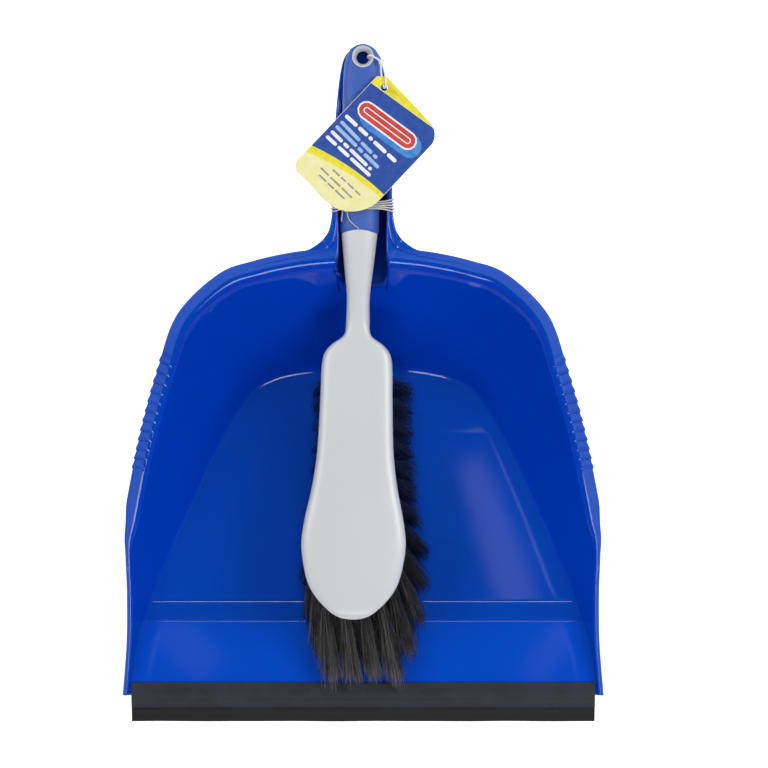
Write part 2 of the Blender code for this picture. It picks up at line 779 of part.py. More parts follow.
def make_tag(material):
    outline = tag_outline()
    rings = [[(x - TAG_HOLE_UV[0], y - TAG_HOLE_UV[1], z) for x, y in outline] for z in (0.0, TAG_THICK)]
    tag = make_loft("hang_tag", rings, material)
    hole = make_rod("tag_hole", (0.0, 0.0), TAG_HOLE_R, (-TAG_THICK, 2.0 * TAG_THICK), TAG_HOLE_SIDES)
    for item in (tag, hole):
        item.matrix_world = Matrix.Translation(Vector(TAG_HINGE) * MM) @ Matrix.Rotation(TAG_ANGLE, 4, "Z")
    combine(tag, hole, "DIFFERENCE")


def closed_curve(points, steps):
    count = len(points)
    found = []
    for index in range(count):
        around = [points[(index + shift) % count] for shift in (-1, 0, 1, 2)]
        found += [curve_point(*around, step / steps) for step in range(steps)]
    return found


def make_strand(material):
    """Closed nylon strand, as a mesh."""
    curve = bpy.data.curves.new("tag_loop", "CURVE")
    curve.dimensions = "3D"
    curve.bevel_depth = LOOP_R * MM
    curve.bevel_resolution = 1
    curve.resolution_u = 1
    curve.render_resolution_u = 1
    route = closed_curve(LOOP_ROUTE, LOOP_STEPS)
    spline = curve.splines.new("POLY")
    spline.points.add(len(route) - 1)
    for knot, point in zip(spline.points, route):
        knot.co = (*(Vector(point) * MM), 1.0)
    spline.use_cyclic_u = True
    strand = link(bpy.data.objects.new("strand", curve))
    mesh = bpy.data.meshes.new_from_object(strand.evaluated_get(bpy.context.evaluated_depsgraph_get()))
    bpy.data.objects.remove(strand)
    mesh.name = "tag_loop"
    return link(bpy.data.objects.new("tag_loop", mesh), material)


def make_tag_loop(material):
    """Strand through the brush's hang hole and the tag's hole, with its bead-shaped lock."""
    loop = make_strand(material)
    rings = []
    for row in range(1, LOCK_ROWS):
        angle = math.pi * row / LOCK_ROWS
        radius, rise = LOCK_R * math.sin(angle), LOCK_R * math.cos(angle)
        ring = round_ring((LOCK_AT[0], LOCK_AT[2]), radius, LOCK_AT[1] + rise, LOCK_SIDES)
        rings.append([(x, y, z) for x, z, y in ring])
    combine(loop, make_loft("loop_lock", rings), "UNION")


def make_brush_frame():
    """Empty at the brush's hanging end, turned so that the brush lies at its slight slant."""
    frame = bpy.data.objects.new("brush_frame", None)
    bpy.context.scene.collection.objects.link(frame)
    pivot = Vector((*BRUSH_PIVOT, 0.0)) * MM
    back = Vector((0.0, BRUSH_PIVOT[1], 0.0)) * MM
    turn = Matrix.Rotation(BRUSH_TURN, 4, "Z")
    frame.matrix_world = Matrix.Translation(pivot) @ turn @ Matrix.Translation(-back)
    return frame


def main():
    clear_scene()
    frame = make_brush_frame()
    make_pan(make_material("pan_blue", (0.0, 0.045, 0.42), 0.25))
    make_rubber_lip(make_material("lip_rubber", (0.035, 0.037, 0.045), 0.6))
    make_brush_core(make_material("brush_grey", (0.62, 0.64, 0.66), 0.4), frame)
    make_brush_grip(make_material("grip_blue", (0.11, 0.2, 0.5), 0.6), frame)
    make_tufts(make_material("bristle_black", (0.012, 0.012, 0.013), 0.5), frame)
    make_tie(make_material("tie_clear", (0.3, 0.28, 0.27), 0.4))
    make_tag(make_material("tag_card", (0.9, 0.8, 0.1), 0.45))
    make_tag_loop(make_material("loop_white", (0.85, 0.85, 0.85), 0.4))


main()
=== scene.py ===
"""Looks of the dust pan and brush set: fine moulded shells, bristles, wound elastic, printed card and light.

Lengths are in millimetres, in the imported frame's axes, and make_mesh turns them into metres.
"""
import math

import bmesh
import bpy
import numpy as np
from mathutils import Matrix, Vector


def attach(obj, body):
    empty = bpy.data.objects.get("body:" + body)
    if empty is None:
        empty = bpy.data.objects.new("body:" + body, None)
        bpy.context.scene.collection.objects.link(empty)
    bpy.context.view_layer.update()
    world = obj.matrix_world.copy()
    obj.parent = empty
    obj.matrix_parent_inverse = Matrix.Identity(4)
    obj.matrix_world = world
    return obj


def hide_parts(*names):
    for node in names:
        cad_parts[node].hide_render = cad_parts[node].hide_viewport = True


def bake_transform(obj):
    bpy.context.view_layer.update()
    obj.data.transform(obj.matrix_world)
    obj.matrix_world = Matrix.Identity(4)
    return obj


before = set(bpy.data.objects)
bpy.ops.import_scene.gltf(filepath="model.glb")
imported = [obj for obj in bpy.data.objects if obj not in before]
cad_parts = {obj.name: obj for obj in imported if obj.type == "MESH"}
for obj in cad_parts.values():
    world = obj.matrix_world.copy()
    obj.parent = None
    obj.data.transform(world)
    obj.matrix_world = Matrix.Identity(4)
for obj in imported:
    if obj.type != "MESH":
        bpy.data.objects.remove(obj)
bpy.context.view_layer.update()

MM = 0.001

# Scoop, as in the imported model
SHELL = 2.2
FRONT_Y = -201.0
BACK_Y = 80.5
FRONT_RIM_Z = 7.6
BACK_RIM_Z = 82.0
RIM_CURVE = 1.35
HEEL_Z = SHELL
HEEL_Y = -25.0
RIDGE_Z = 10.0
BAND_Z = 8.0
FRONT_FLOOR_Z = 4.6
BAND_BACK_Y = -139.0
BAND_FRONT_Y = -152.0
FLOOR_FILLET = 4.0
FLOOR_FILLET_FRONT = 2.2
FLOOR_ROUND = 9.0
BEAD_RISE = 0.13
BEAD_HALF = 0.5
CREASE_RISE = 0.3
CREASE_SHIFTS = (-0.55, -0.3, 0.0, 0.3, 0.55)
FILLET_GROWS_Y = (-139.5, -126.0)
FILLET_SHARES = (0.0, 0.2, 0.4, 0.6, 0.8)
RIM_FILLET = 2.5
FLANGE = 9.6
FLANGE_FRONT = 3.15
FLANGE_TAPER_Y = (-110.0, -70.0)
LIP_DEPTH = 6.0
LIP_DEPTH_FRONT = 2.6
STATIONS = (
    ((154.7, -201.0), (154.2, -201.0)),
    ((151.2, -165.0), (147.6, -165.0)),
    ((150.2, -132.4), (136.4, -132.4)),
    ((150.2, -102.0), (124.2, -102.0)),
    ((144.8, -82.0), (115.8, -82.0)),
    ((137.6, -48.1), (100.9, -48.5)),
    ((132.6, -27.5), (91.8, -30.5)),
    ((127.8, -10.1), (84.0, -17.0)),
    ((121.9, 9.0), (77.8, -7.5)),
    ((111.3, 40.8), (70.8, 0.6)),
    ((87.3, 64.6), (57.0, 7.2)),
    ((65.7, 72.6), (43.0, 10.6)),
    ((40.8, 77.9), (27.0, 12.8)),
    ((16.2, 80.35), (10.8, 13.95)),
)
RIB_COUNT = 12
RIB_PITCH = 5.85
RIB_FRONT_Y = -51.5

# Channel handle
HANDLE_HALF = 19.0
HANDLE_PLAN = (
    (118.0, 19.0),
    (130.0, 19.0),
    (150.0, 18.5),
    (167.0, 17.6),
    (181.0, 16.6),
    (195.0, 15.2),
    (205.0, 13.6),
    (210.5, 12.0),
    (214.5, 9.6),
    (217.0, 6.6),
    (218.2, 4.0),
    (218.7, 1.9),
    (218.73, 0.0),
)
CHANNEL_HALF = 15.0
CHANNEL_DEPTH = 18.0
THROAT_Y = 88.0
HANDLE_SLOPE = 0.03
RIM_DROP_Y = (150.0, 190.0)
TIP_RIM_Z = 73.0
# Inner and outer edge of the rim (x, y) where it turns from the scoop into the handle
THROAT = (
    ((40.8, 77.9), (42.8, 87.3)),
    ((29.5, 79.4), (33.8, 88.9)),
    ((16.2, 80.35), (25.4, 94.8)),
    ((15.1, 84.5), (22.0, 99.6)),
    ((14.9, 93.0), (20.2, 106.0)),
    ((14.9, 104.0), (19.3, 113.0)),
    ((15.0, 116.0), (19.0, 120.5)),
    ((15.0, 130.0), (19.0, 130.0)),
)
# Where the step between the rim's two bands lies, as a share of the rim's width, for the same rows
GROOVE_SHARES = (0.6, 0.68, 0.62, 0.55, 0.42, 0.26, 0.12, 0.05)
GLOSSY_RIM = 0.25
GLOSSY_RIM_Y = (80.0, 92.0)
PAN_HOLE_Y = 196.0
PAN_HOLE_R = 5.5
MOUTH_ROUND = 1.3

# Brush, in its own frame before it is turned
BRUSH_PIVOT = (0.4, 216.0)
BRUSH_TURN = math.radians(-1.13)
CORE_STATIONS = (
    (-147.2, 2.5, 62.0, 68.0),
    (-146.0, 8.0, 58.6, 71.4),
    (-142.8, 13.8, 56.2, 73.8),
    (-135.1, 22.0, 55.0, 75.0),
    (-126.2, 27.9, 55.0, 75.4),
    (-115.3, 31.3, 55.0, 75.6),
    (-99.0, 33.4, 55.0, 75.6),
    (-82.8, 31.5, 55.0, 75.6),
    (-65.6, 27.9, 55.0, 75.6),
    (-49.6, 25.4, 55.0, 75.6),
    (-33.1, 24.0, 55.0, 75.6),
    (-4.3, 23.1, 55.0, 75.6),
    (10.4, 22.8, 55.0, 75.6),
    (18.2, 22.2, 55.4, 75.6),
    (23.8, 20.4, 56.6, 75.7),
    (28.6, 16.2, 58.8, 75.8),
    (31.6, 11.8, 60.4, 76.0),
    (34.2, 8.9, 61.8, 76.2),
    (38.0, 7.8, 63.0, 76.6),
    (44.0, 7.6, 64.2, 77.2),
    (58.8, 7.4, 66.0, 79.4),
    (77.3, 9.3, 67.2, 82.0),
    (95.8, 11.2, 67.2, 84.6),
    (103.0, 11.7, 67.0, 85.3),
)
BLOCK_SQUARENESS = 5.5
NECK_SQUARENESS = 2.6
NECK_START_Y = 30.0
NECK_END_Y = 44.0
GRIP_FRONT_Y = 102.0
GRIP_TIP_Y = 218.8
GRIP_HALF = 12.3
GRIP_PLAN = (
    (160.0, 12.3),
    (180.0, 12.3),
    (192.0, 12.25),
    (200.0, 12.0),
    (205.0, 11.6),
    (210.4, 10.5),
    (214.8, 8.5),
    (217.2, 5.7),
    (218.3, 3.2),
    (218.7, 1.2),
)
GRIP_LOW_Z = (65.8, 77.5)
GRIP_HIGH_Z = (86.2, 89.8)
GRIP_RISE_Y = (145.0, 195.0)
GRIP_SQUARENESS = 2.6
HANG_HOLE_Y = 210.4
LINER_R = 6.0
TUFT_ROWS = 12
TUFT_PITCH_Y = 12.6
TUFT_BACK_Y = 6.0
TUFT_PITCH_X = 13.0
TUFT_EDGE = 6.5
BLOCK_UNDER_Z = 55.0
LEAN_X = (3.5, 8.0)
LEAN_Y = (-8.0, -22.0)
SPLAY_X = (1.5, 1.22)
FAN_Y = (60.0, 135.0)
FAN_REACH = 34.0
FAN_LIFT = 12.0

# Camera: straight above the set, with the long lens of a product picture
CAMERA_AT = (13.65, 3.3, 2280.0)
CAMERA_LENS = 162.4
SENSOR = 36.0


def blend(low, high, share):
    return low + (high - low) * share


def smooth_step(value, low, high):
    share = min(1.0, max(0.0, (value - low) / (high - low)))
    return share * share * (3.0 - 2.0 * share)


def add_object(name, data):
    item = bpy.data.objects.new(name, data)
    bpy.context.scene.collection.objects.link(item)
    return item


def smooth(mesh, sharp=None):
    """Smooth shading, except across edges sharper than this many degrees."""
    mesh.shade_smooth()
    if sharp:
        mesh.set_sharp_from_angle(angle=math.radians(sharp))


def make_mesh(name, points, faces, materials, welded=0.002, sharp=None):
    """Object from points in millimetres: welded, smooth shaded, with its materials."""
    mesh = bpy.data.meshes.new(name)
    mesh.from_pydata((np.asarray(points, float) * MM).tolist(), [], [list(face) for face in faces])
    if welded:
        build = bmesh.new()
        build.from_mesh(mesh)
        bmesh.ops.remove_doubles(build, verts=build.verts, dist=welded * MM)
        bmesh.ops.recalc_face_normals(build, faces=build.faces)
        build.to_mesh(mesh)
        build.free()
    smooth(mesh, sharp)
    for material in materials:
        mesh.materials.append(material)
    return add_object(name, mesh)


def grid_faces(rows, columns, start=0, closed=False):
    """Quads over a grid of points stored row by row; closed joins the last column to the first."""
    faces = []
    for row in range(rows - 1):
        for column in range(columns if closed else columns - 1):
            after = (column + 1) % columns
            low = start + row * columns
            faces.append((low + column, low + after, low + columns + after, low + columns + column))
    return faces


def curve_point(before, start, end, after, share):
    """Catmull-Rom point between start and end."""
    a, b, c, d = (np.asarray(point, float) for point in (before, start, end, after))
    return (
        b
        + 0.5 * share * (c - a)
        + share**2 * (a - 2.5 * b + 2.0 * c - 0.5 * d)
        + share**3 * (1.5 * (b - c) + 0.5 * (d - a))
    )


def smooth_rows(rows, steps, closed=False):
    """Rows of numbers with steps points between each two, on a smooth curve."""
    count = len(rows)
    found = []
    for index in range(count if closed else count - 1):
        around = [index - 1, index, index + 1, index + 2]
        if closed:
            around = [place % count for place in around]
        else:
            around = [min(max(place, 0), count - 1) for place in around]
        for step in range(steps):
            found.append(curve_point(*(rows[place] for place in around), step / steps))
    if not closed:
        found.append(np.asarray(rows[-1], float))
    return found


# ---------------------------------------------------------------- materials

class Look:
    """A new material on its principled shader, with short ways to add nodes and join them."""

    def __init__(self, name):
        self.material = bpy.data.materials.new(name)
        self.material.use_nodes = True
        self.nodes = self.material.node_tree.nodes

    def feed(self, socket, value):
        """Gives a socket a plain value, or the output that feeds it."""
        if isinstance(value, bpy.types.NodeSocket):
            self.material.node_tree.links.new(value, socket)
        else:
            socket.default_value = value

    def fill(self, node, inputs):
        for key, value in inputs.items():
            self.feed(node.inputs[key.replace("_", " ")], value)

    def add(self, kind, **inputs):
        node = self.nodes.new("ShaderNode" + kind)
        self.fill(node, inputs)
        return node

    def finish(self, **inputs):
        self.fill(self.nodes["Principled BSDF"], inputs)
        return self.material

    def place(self):
        """The object's own coordinates."""
        return self.add("TexCoord").outputs["Object"]

    def axis(self, vector, letter):
        return self.add("SeparateXYZ", Vector=vector).outputs[letter]

    def attribute(self, name):
        node = self.add("Attribute")
        node.attribute_name = name
        return node.outputs["Fac"]

    def noise(self, scale, detail=3.0):
        return self.add("TexNoise", Vector=self.place(), Scale=scale, Detail=detail).outputs["Fac"]

    def ramp(self, factor, low, high, start=0.35, end=0.65):
        """Colour eased from low to high over the factor."""
        node = self.add("ValToRGB", Fac=factor)
        node.color_ramp.interpolation = "EASE"
        for element, position, colour in zip(node.color_ramp.elements, (start, end), (low, high)):
            element.position = position
            element.color = (*colour, 1.0)
        return node.outputs["Color"]

    def map(self, value, low, high, start=0.0, end=1.0):
        """Low to high as the value goes from start to end."""
        node = self.add("MapRange", Value=value, From_Min=start, From_Max=end, To_Min=low, To_Max=high)
        return node.outputs["Result"]

    def mix(self, factor, under, over, kind="MIX"):
        node = self.add("Mix")
        node.data_type = "RGBA"
        node.blend_type = kind
        self.fill(node, {"Factor": factor, "A": under, "B": over})
        return node.outputs["Result"]

    def total(self, first, second):
        node = self.add("Math")
        self.feed(node.inputs[0], first)
        self.feed(node.inputs[1], second)
        return node.outputs["Value"]

    def bump(self, height, strength, distance_mm, **inputs):
        node = self.add("Bump", Height=height, Strength=strength, Distance=distance_mm * MM, **inputs)
        return node.outputs["Normal"]


def moulded_material(name, low, high, rough, noise_scale, grain_scale, grain_mm=0.03, **inputs):
    """Plastic or rubber with a slightly uneven colour and gloss, and a fine moulded grain."""
    look = Look(name)
    noise = look.noise(noise_scale)
    return look.finish(
        Base_Color=look.ramp(noise, low, high),
        Roughness=look.map(noise, *rough),
        Normal=look.bump(look.noise(grain_scale, 2.0), 0.5, grain_mm),
        Specular_IOR_Level=0.5,
        **inputs,
    )


# Painted light: lighter blue laid over the front ramp
FRONT_RAMP_PAINTED_LIGHT = (0.0, 0.068, 0.57, 1.0)
# Painted shade: dark blue laid over the handle's channel where the zone is -1
CHANNEL_PAINTED_SHADE = (0.0, 0.02, 0.2, 1.0)


def pan_colour(look, noise, zone):
    """Blue of the body, with layers laid over it: painted shade on its level faces, darker than the walls; a
    painted lighter blue on the front ramp; the rim's own paler blue; and painted shade in the channel.
    """
    upward = look.axis(look.add("NewGeometry").outputs["Normal"], "Z")
    along = look.axis(look.place(), "Y")
    colour = look.ramp(noise, (0.0, 0.05, 0.56), (0.0, 0.054, 0.6))
    layers = (
        # Painted shade: faces that look up get a darker blue than the walls
        (look.map(upward, 0.0, 1.0, 0.8, 0.98), look.ramp(noise, (0.0, 0.052, 0.43), (0.0, 0.058, 0.46))),
        # Painted light: the front ramp gets a lighter blue
        (look.map(along, 1.0, 0.0, (BAND_FRONT_Y - 1.0) * MM, (BAND_FRONT_Y + 0.5) * MM), FRONT_RAMP_PAINTED_LIGHT),
        (zone, look.ramp(noise, (0.0, 0.068, 0.5), (0.002, 0.078, 0.54))),
        # Painted shade: the channel, zone -1, gets a dark blue
        (look.map(zone, 1.0, 0.0, -1.0, 0.0), CHANNEL_PAINTED_SHADE),
    )
    for factor, layer in layers:
        colour = look.mix(factor, colour, layer)
    return colour


def pan_material():
    """Glossy blue plastic, paler and matt on the rim, with painted light and shade in its colour: darker level
    faces, a lighter front ramp and a dark channel.
    """
    look = Look("pan_blue")
    noise = look.noise(14.0)
    zone = look.attribute("zone")
    ripple = look.bump(look.noise(17.0, 1.0), 0.12, 1.0)
    return look.finish(
        Base_Color=pan_colour(look, noise, zone),
        Roughness=look.total(look.map(noise, 0.03, 0.07), look.map(zone, 0.0, 0.5)),
        Normal=look.bump(look.noise(1100.0, 2.0), look.map(zone, 0.02, 0.45), 0.05, Normal=ripple),
        Specular_IOR_Level=0.45,
    )


def bristle_material():
    """Black bristle, browner and paler towards its end: partly the split ends' own paler colour, partly a painted
    highlight where the ends catch the light.
    """
    look = Look("bristle_black")
    return look.finish(
        Base_Color=look.ramp(look.attribute("tip"), (0.007, 0.007, 0.008), (0.13, 0.125, 0.12), end=1.0),
        Roughness=look.map(look.noise(300.0), 0.28, 0.45),
        Specular_IOR_Level=0.5,
    )


def lip_material():
    """Extruded rubber, darker on the thin wiping blade, with faint lines along it."""
    look = Look("lip_rubber")
    place = look.place()
    thick = look.map(look.axis(place, "Y"), 0.0, 1.0, LIP_BLADE_Y[0] * MM, LIP_BLADE_Y[1] * MM)
    colour = look.ramp(thick, (0.012, 0.012, 0.014), (0.03, 0.033, 0.045), 0.2, 0.8)
    noise = look.noise(60.0)
    shade = look.ramp(noise, (0.75, 0.75, 0.75), (1.0, 1.0, 1.0))
    lines = look.add("TexWave", Vector=place, Scale=260.0, Distortion=0.6)
    lines.bands_direction = "Y"
    return look.finish(
        Base_Color=look.mix(1.0, colour, shade, "MULTIPLY"),
        Roughness=look.map(noise, 0.45, 0.62),
        Normal=look.bump(lines.outputs["Fac"], 0.2, 0.08),
        Specular_IOR_Level=0.22,
    )


def print_material(name, low, high):
    """Ink on coated card: a slight mottle and a soft gloss."""
    return moulded_material(name, low, high, (0.3, 0.42), 240.0, 1600.0, 0.01)


# ---------------------------------------------------------------- scoop

def rim_height(y):
    share = min(1.0, max(0.0, (y - FRONT_Y) / (BACK_Y - FRONT_Y)))
    return FRONT_RIM_Z + (BACK_RIM_Z - FRONT_RIM_Z) * (1.0 - (1.0 - share) ** RIM_CURVE)


def floor_height(y):
    if y >= BAND_BACK_Y:
        slope = (RIDGE_Z - HEEL_Z) / (HEEL_Y - BAND_BACK_Y)
        before_end = HEEL_Y + 0.5 * FLOOR_ROUND - y
        rounded = max(0.0, min(before_end, FLOOR_ROUND))
        return HEEL_Z + slope * (0.5 * rounded**2 / FLOOR_ROUND + max(0.0, before_end - FLOOR_ROUND))
    if y >= BAND_FRONT_Y:
        return blend(BAND_Z, RIDGE_Z, (y - BAND_FRONT_Y) / (BAND_BACK_Y - BAND_FRONT_Y))
    return blend(FRONT_FLOOR_Z, BAND_Z, (y - FRONT_Y) / (BAND_FRONT_Y - FRONT_Y))


def bead_height(y):
    """Small raised line along each crease of the floor."""
    near = min(abs(y - BAND_FRONT_Y), abs(y - BAND_BACK_Y))
    return BEAD_RISE * (1.0 - smooth_step(near, 0.0, BEAD_HALF))


def flange_width(y):
    return blend(FLANGE_FRONT, FLANGE, smooth_step(y, *FLANGE_TAPER_Y))


def handle_rim_z(y):
    level = BACK_RIM_Z + HANDLE_SLOPE * max(0.0, y - THROAT_Y)
    return blend(level, TIP_RIM_Z, smooth_step(y, *RIM_DROP_Y))


def channel_z(y):
    return BACK_RIM_Z - CHANNEL_DEPTH + HANDLE_SLOPE * max(0.0, y - THROAT_Y)


FLOOR_COLUMNS = 12
WALL_ROWS = 14
STEP_DEPTH = 1.1
INNER_SHARES = (0.0, 0.3, 0.6, 0.85)
STEP_SHIFTS = (-0.5, -0.25, 0.0, 0.2, 0.4, 0.6)
STEP_RISES = (0.0, 0.12, 0.5, 0.9, 1.1, 1.0)
OUTER_SHARES = (0.25, 0.5, 0.75, 1.0)
EDGE_ROUND = ((-0.62, -0.1), (-0.3, -0.3), (-0.1, -0.6), (0.0, -1.0))
BAND_COUNT = len(INNER_SHARES) + len(STEP_SHIFTS) + len(OUTER_SHARES)
RIB_DEPTH = 0.75
RIB_RISE = 0.75
RIB_TOOTH = 0.75
RIB_PHASES = (0.0, 0.09, 0.15, 0.2, 0.25, 0.31, 0.4, 0.52, 0.64, 0.76, 0.88)


def scoop_stations():
    """Rim and floor edge points (rim x, y, floor x, y), front to throat, closer together at the ribs."""
    rows = [(*rim, *edge) for rim, edge in STATIONS]
    rows.append((0.0, BACK_Y, 0.0, 14.2))
    dense = smooth_rows(rows, 12)[: 12 * (len(STATIONS) - 1) + 1]
    table = np.array(dense)
    rib_end = RIB_FRONT_Y + RIB_COUNT * RIB_PITCH
    wanted = [row[1] for row in dense if row[1] < RIB_FRONT_Y - 1.0]
    for rib in range(RIB_COUNT):
        wanted += [RIB_FRONT_Y + (rib + phase) * RIB_PITCH for phase in RIB_PHASES]
    wanted.append(rib_end)
    wanted += [row[1] for row in dense if row[1] > rib_end + 1.0]
    creases = [crease + shift for crease in (BAND_FRONT_Y, BAND_BACK_Y) for shift in CREASE_SHIFTS]
    wanted = sorted(set(y for y in wanted if min(abs(y - c) for c in creases) > 0.6) | set(creases))
    return [[float(np.interp(y, table[:, 1], table[:, column])) for column in range(4)] for y in wanted]


def throat_outer(rim_x, plain):
    """Outer edge of the rim: straight out from the scoop, then following the throat's round corner."""
    if rim_x > THROAT[0][0][0]:
        return plain
    first, middle, last = (np.array(row[1]) for row in THROAT[:3])
    xs = (THROAT[0][0][0], THROAT[1][0][0], THROAT[2][0][0])
    if rim_x > xs[1]:
        share = (xs[0] - rim_x) / (xs[0] - xs[1])
        return tuple(curve_point(2 * first - middle, first, middle, last, share))
    share = (xs[1] - rim_x) / (xs[1] - xs[2])
    return tuple(curve_point(first, middle, last, np.array(THROAT[3][1]), share))


def step_fade(x, y):
    """How much of the step between the rim's two bands is left: all at the throat, none past the shoulder."""
    return 1.0 if y > BACK_Y else 1.0 - smooth_step(x, 44.0, 84.0)


def groove_share(rim, outer):
    """Where the step between the rim's bands lies, as a share of the rim's width."""
    if rim.y < THROAT[0][0][1] - 0.01:
        return GROOVE_SHARES[0]
    keys = [row[1][1] for row in THROAT]
    return float(np.interp(outer.y, keys, GROOVE_SHARES))


def band_points(rim, outer, high, lip, fade):
    """Points across the rim from its inner fillet to the bottom of its outer lip."""
    way = (outer - rim).normalized()
    width = (outer - rim).length
    start, end = min(RIM_FILLET, 0.3 * width), width - min(1.0, 0.2 * width)
    groove = min(max(groove_share(rim, outer) * width, start + 0.6), end - 0.7)
    places = [(blend(start, groove - 0.5, share), 0.0) for share in INNER_SHARES]
    places += [(groove + shift, rise) for shift, rise in zip(STEP_SHIFTS, STEP_RISES)]
    places += [(blend(groove + 0.6, end, share), 1.0) for share in OUTER_SHARES]
    points = []
    for out, rise in places:
        points.append([rim.x + way.x * out, rim.y + way.y * out, high - STEP_DEPTH * fade * (1.0 - rise)])
    for back, drop in (*EDGE_ROUND, (0.0, -0.5 * lip), (0.0, -lip)):
        points.append([outer.x + way.x * back, outer.y + way.y * back, high + drop])
    return points


def rib_relief(y, share):
    """Height and outward shift of the finger ribs: narrow ridges with sunken pads between them."""
    place = (y - RIB_FRONT_Y) / RIB_PITCH
    if not 0.0 <= place <= RIB_COUNT:
        return 0.0, 0.0
    phase = place % 1.0
    ridge = smooth_step(phase, 0.09, 0.2) * (1.0 - smooth_step(phase, 0.25, 0.4))
    ends = smooth_step(place, 0.0, 0.09) * (1.0 - smooth_step(place, RIB_COUNT - 0.12, RIB_COUNT))
    inside = smooth_step(share, 0.02, 0.16)
    tooth = smooth_step(phase, 0.05, 0.2) * (1.0 - smooth_step(phase, 0.25, 0.95))
    return (ridge * RIB_RISE - RIB_DEPTH * (1.0 - ridge)) * ends * inside, RIB_TOOTH * tooth * ends


def wall_profile(run, low, high, fillet, rounding, crease):
    """Points (out, z) up a section's wall: floor fillet, wall, and the start of the rim's rounding."""
    length = math.hypot(run, high - low)
    out, up = run / length, (high - low) / length
    fillet, rounding = min(fillet, 0.35 * length), min(rounding, 0.25 * length)
    wall = []
    for share in FILLET_SHARES:
        wall.append(((share - 1.0) ** 2 * -fillet + share**2 * fillet * out, low + share**2 * fillet * up))
    wall[2] = (wall[2][0], wall[2][1] + crease)
    start = (fillet * out, low + fillet * up)
    end = (run - rounding * out, high - rounding * up)
    for row in range(WALL_ROWS + 1):
        share = row / WALL_ROWS
        wall.append((blend(start[0], end[0], share), blend(start[1], end[1], share)))
    wall.append((run + 0.25 * rounding * (1.0 - out), high - 0.25 * rounding * up))
    return wall


def wing_station(station):
    """One section of the scoop's right side, as its floor and wall points and its rim points."""
    rim, edge = Vector(station[:2]), Vector(station[2:])
    way = (rim - edge).normalized()
    flange, fade = flange_width(rim.y), step_fade(rim.x, rim.y - 1.0)
    high = rim_height(rim.y)
    fillet = blend(FLOOR_FILLET_FRONT, FLOOR_FILLET, smooth_step(edge.y, *FILLET_GROWS_Y))
    crease = CREASE_RISE * (1.0 - smooth_step(edge.y, BAND_BACK_Y - 3.0, BAND_BACK_Y + 1.0))
    wall = wall_profile(
        (rim - edge).length, floor_height(edge.y), high - STEP_DEPTH * fade,
        fillet, min(RIM_FILLET, 0.3 * flange), crease,
    )
    points = [[edge.x + way.x * s, edge.y + way.y * s, z] for s, z in wall]
    foot = points[0]
    foot[2] = floor_height(foot[1]) + bead_height(foot[1])
    floor = [[foot[0] * column / FLOOR_COLUMNS, *foot[1:]] for column in range(FLOOR_COLUMNS)]
    outer = Vector(throat_outer(rim.x, (rim.x + way.x * flange, rim.y + way.y * flange)))
    lip = blend(LIP_DEPTH_FRONT, LIP_DEPTH, smooth_step(rim.y, *FLANGE_TAPER_Y))
    band = band_points(rim, outer, high, lip, fade)
    for index, point in enumerate(band):
        share = min(1.0, index / (BAND_COUNT - 1))
        rise, shift = rib_relief(rim.y, share)
        point[0] += way.x * shift * share
        point[1] += way.y * shift * share
        point[2] += rise * (0.35 if index > BAND_COUNT + 2 else 1.0)
    return floor + points, band


CHANNEL_ROWS = 12
CHANNEL_SQUARENESS = 3.2


def channel_profile(half, low, high):
    """Right half of the channel's U section (x, z), from its bottom to where its edge starts to round."""
    found = []
    for row in range(CHANNEL_ROWS + 1):
        angle = 0.5 * math.pi * row / CHANNEL_ROWS
        across = math.sin(angle) ** (2.0 / CHANNEL_SQUARENESS)
        rise = 1.0 - math.cos(angle) ** (2.0 / CHANNEL_SQUARENESS)
        found.append((half * across, blend(low, high, rise)))
    return found


def handle_stations():
    """Inner and outer rim edge (rim x, y, outer x, y) from the throat to the tip."""
    rows = [(*rim, *outer) for rim, outer in THROAT[2:]]
    found = [list(row) for row in smooth_rows(rows, 8)]
    for y, half in smooth_rows(HANDLE_PLAN, 5)[6:]:
        back = 4.2 * smooth_step(y, 195.0, HANDLE_PLAN[-1][0])
        found.append([max(0.0, half) * CHANNEL_HALF / HANDLE_HALF, y - back, max(0.0, half), y])
    return found


def handle_station(station, throat_share, wall_y):
    """One section of the handle's right half: channel from its bottom up, rim fillet, and rim."""
    rim, outer = Vector(station[:2]), Vector(station[2:])
    high = handle_rim_z(outer.y)
    width = (outer - rim).length
    fillet = min(RIM_FILLET, 0.3 * width)
    high_in = high - STEP_DEPTH * min(1.0, (high - channel_z(outer.y)) / CHANNEL_DEPTH)
    way = (outer - rim).normalized()
    profile = channel_profile(rim.x, channel_z(rim.y), high_in - fillet)
    points = [[x, blend(wall_y(z), rim.y, throat_share), z] for x, z in profile]
    points.append([rim.x + 0.25 * fillet * way.x, rim.y + 0.25 * fillet * way.y, high_in - 0.25 * fillet])
    plate = blend(LIP_DEPTH, 4.5, throat_share)
    return points, band_points(rim, outer, high, plate, (high - high_in) / STEP_DEPTH)


def back_wall_rows(station, profile):
    """The back wall under the channel's mouth, as rows from the floor up to the mouth's U-shaped edge."""
    foot, start, last = station[0], station[len(FILLET_SHARES)], station[-1]
    rows = []
    for index, (_, row_y, row_z) in enumerate(station):
        line = []
        for column, (x, z) in enumerate(profile):
            bottom = foot[0] * column / (len(profile) - 1)
            if index <= len(FILLET_SHARES):
                line.append([blend(bottom, x, (row_y - foot[1]) / (last[1] - foot[1])), row_y, row_z])
                continue
            height = blend(start[2], z, (row_z - start[2]) / (last[2] - start[2]))
            y, top_y = (blend(start[1], last[1], (h - start[2]) / (last[2] - start[2])) for h in (height, z))
            line.append([blend(bottom, x, (y - foot[1]) / (top_y - foot[1])), y, height])
        rows.append(line)
    return rows


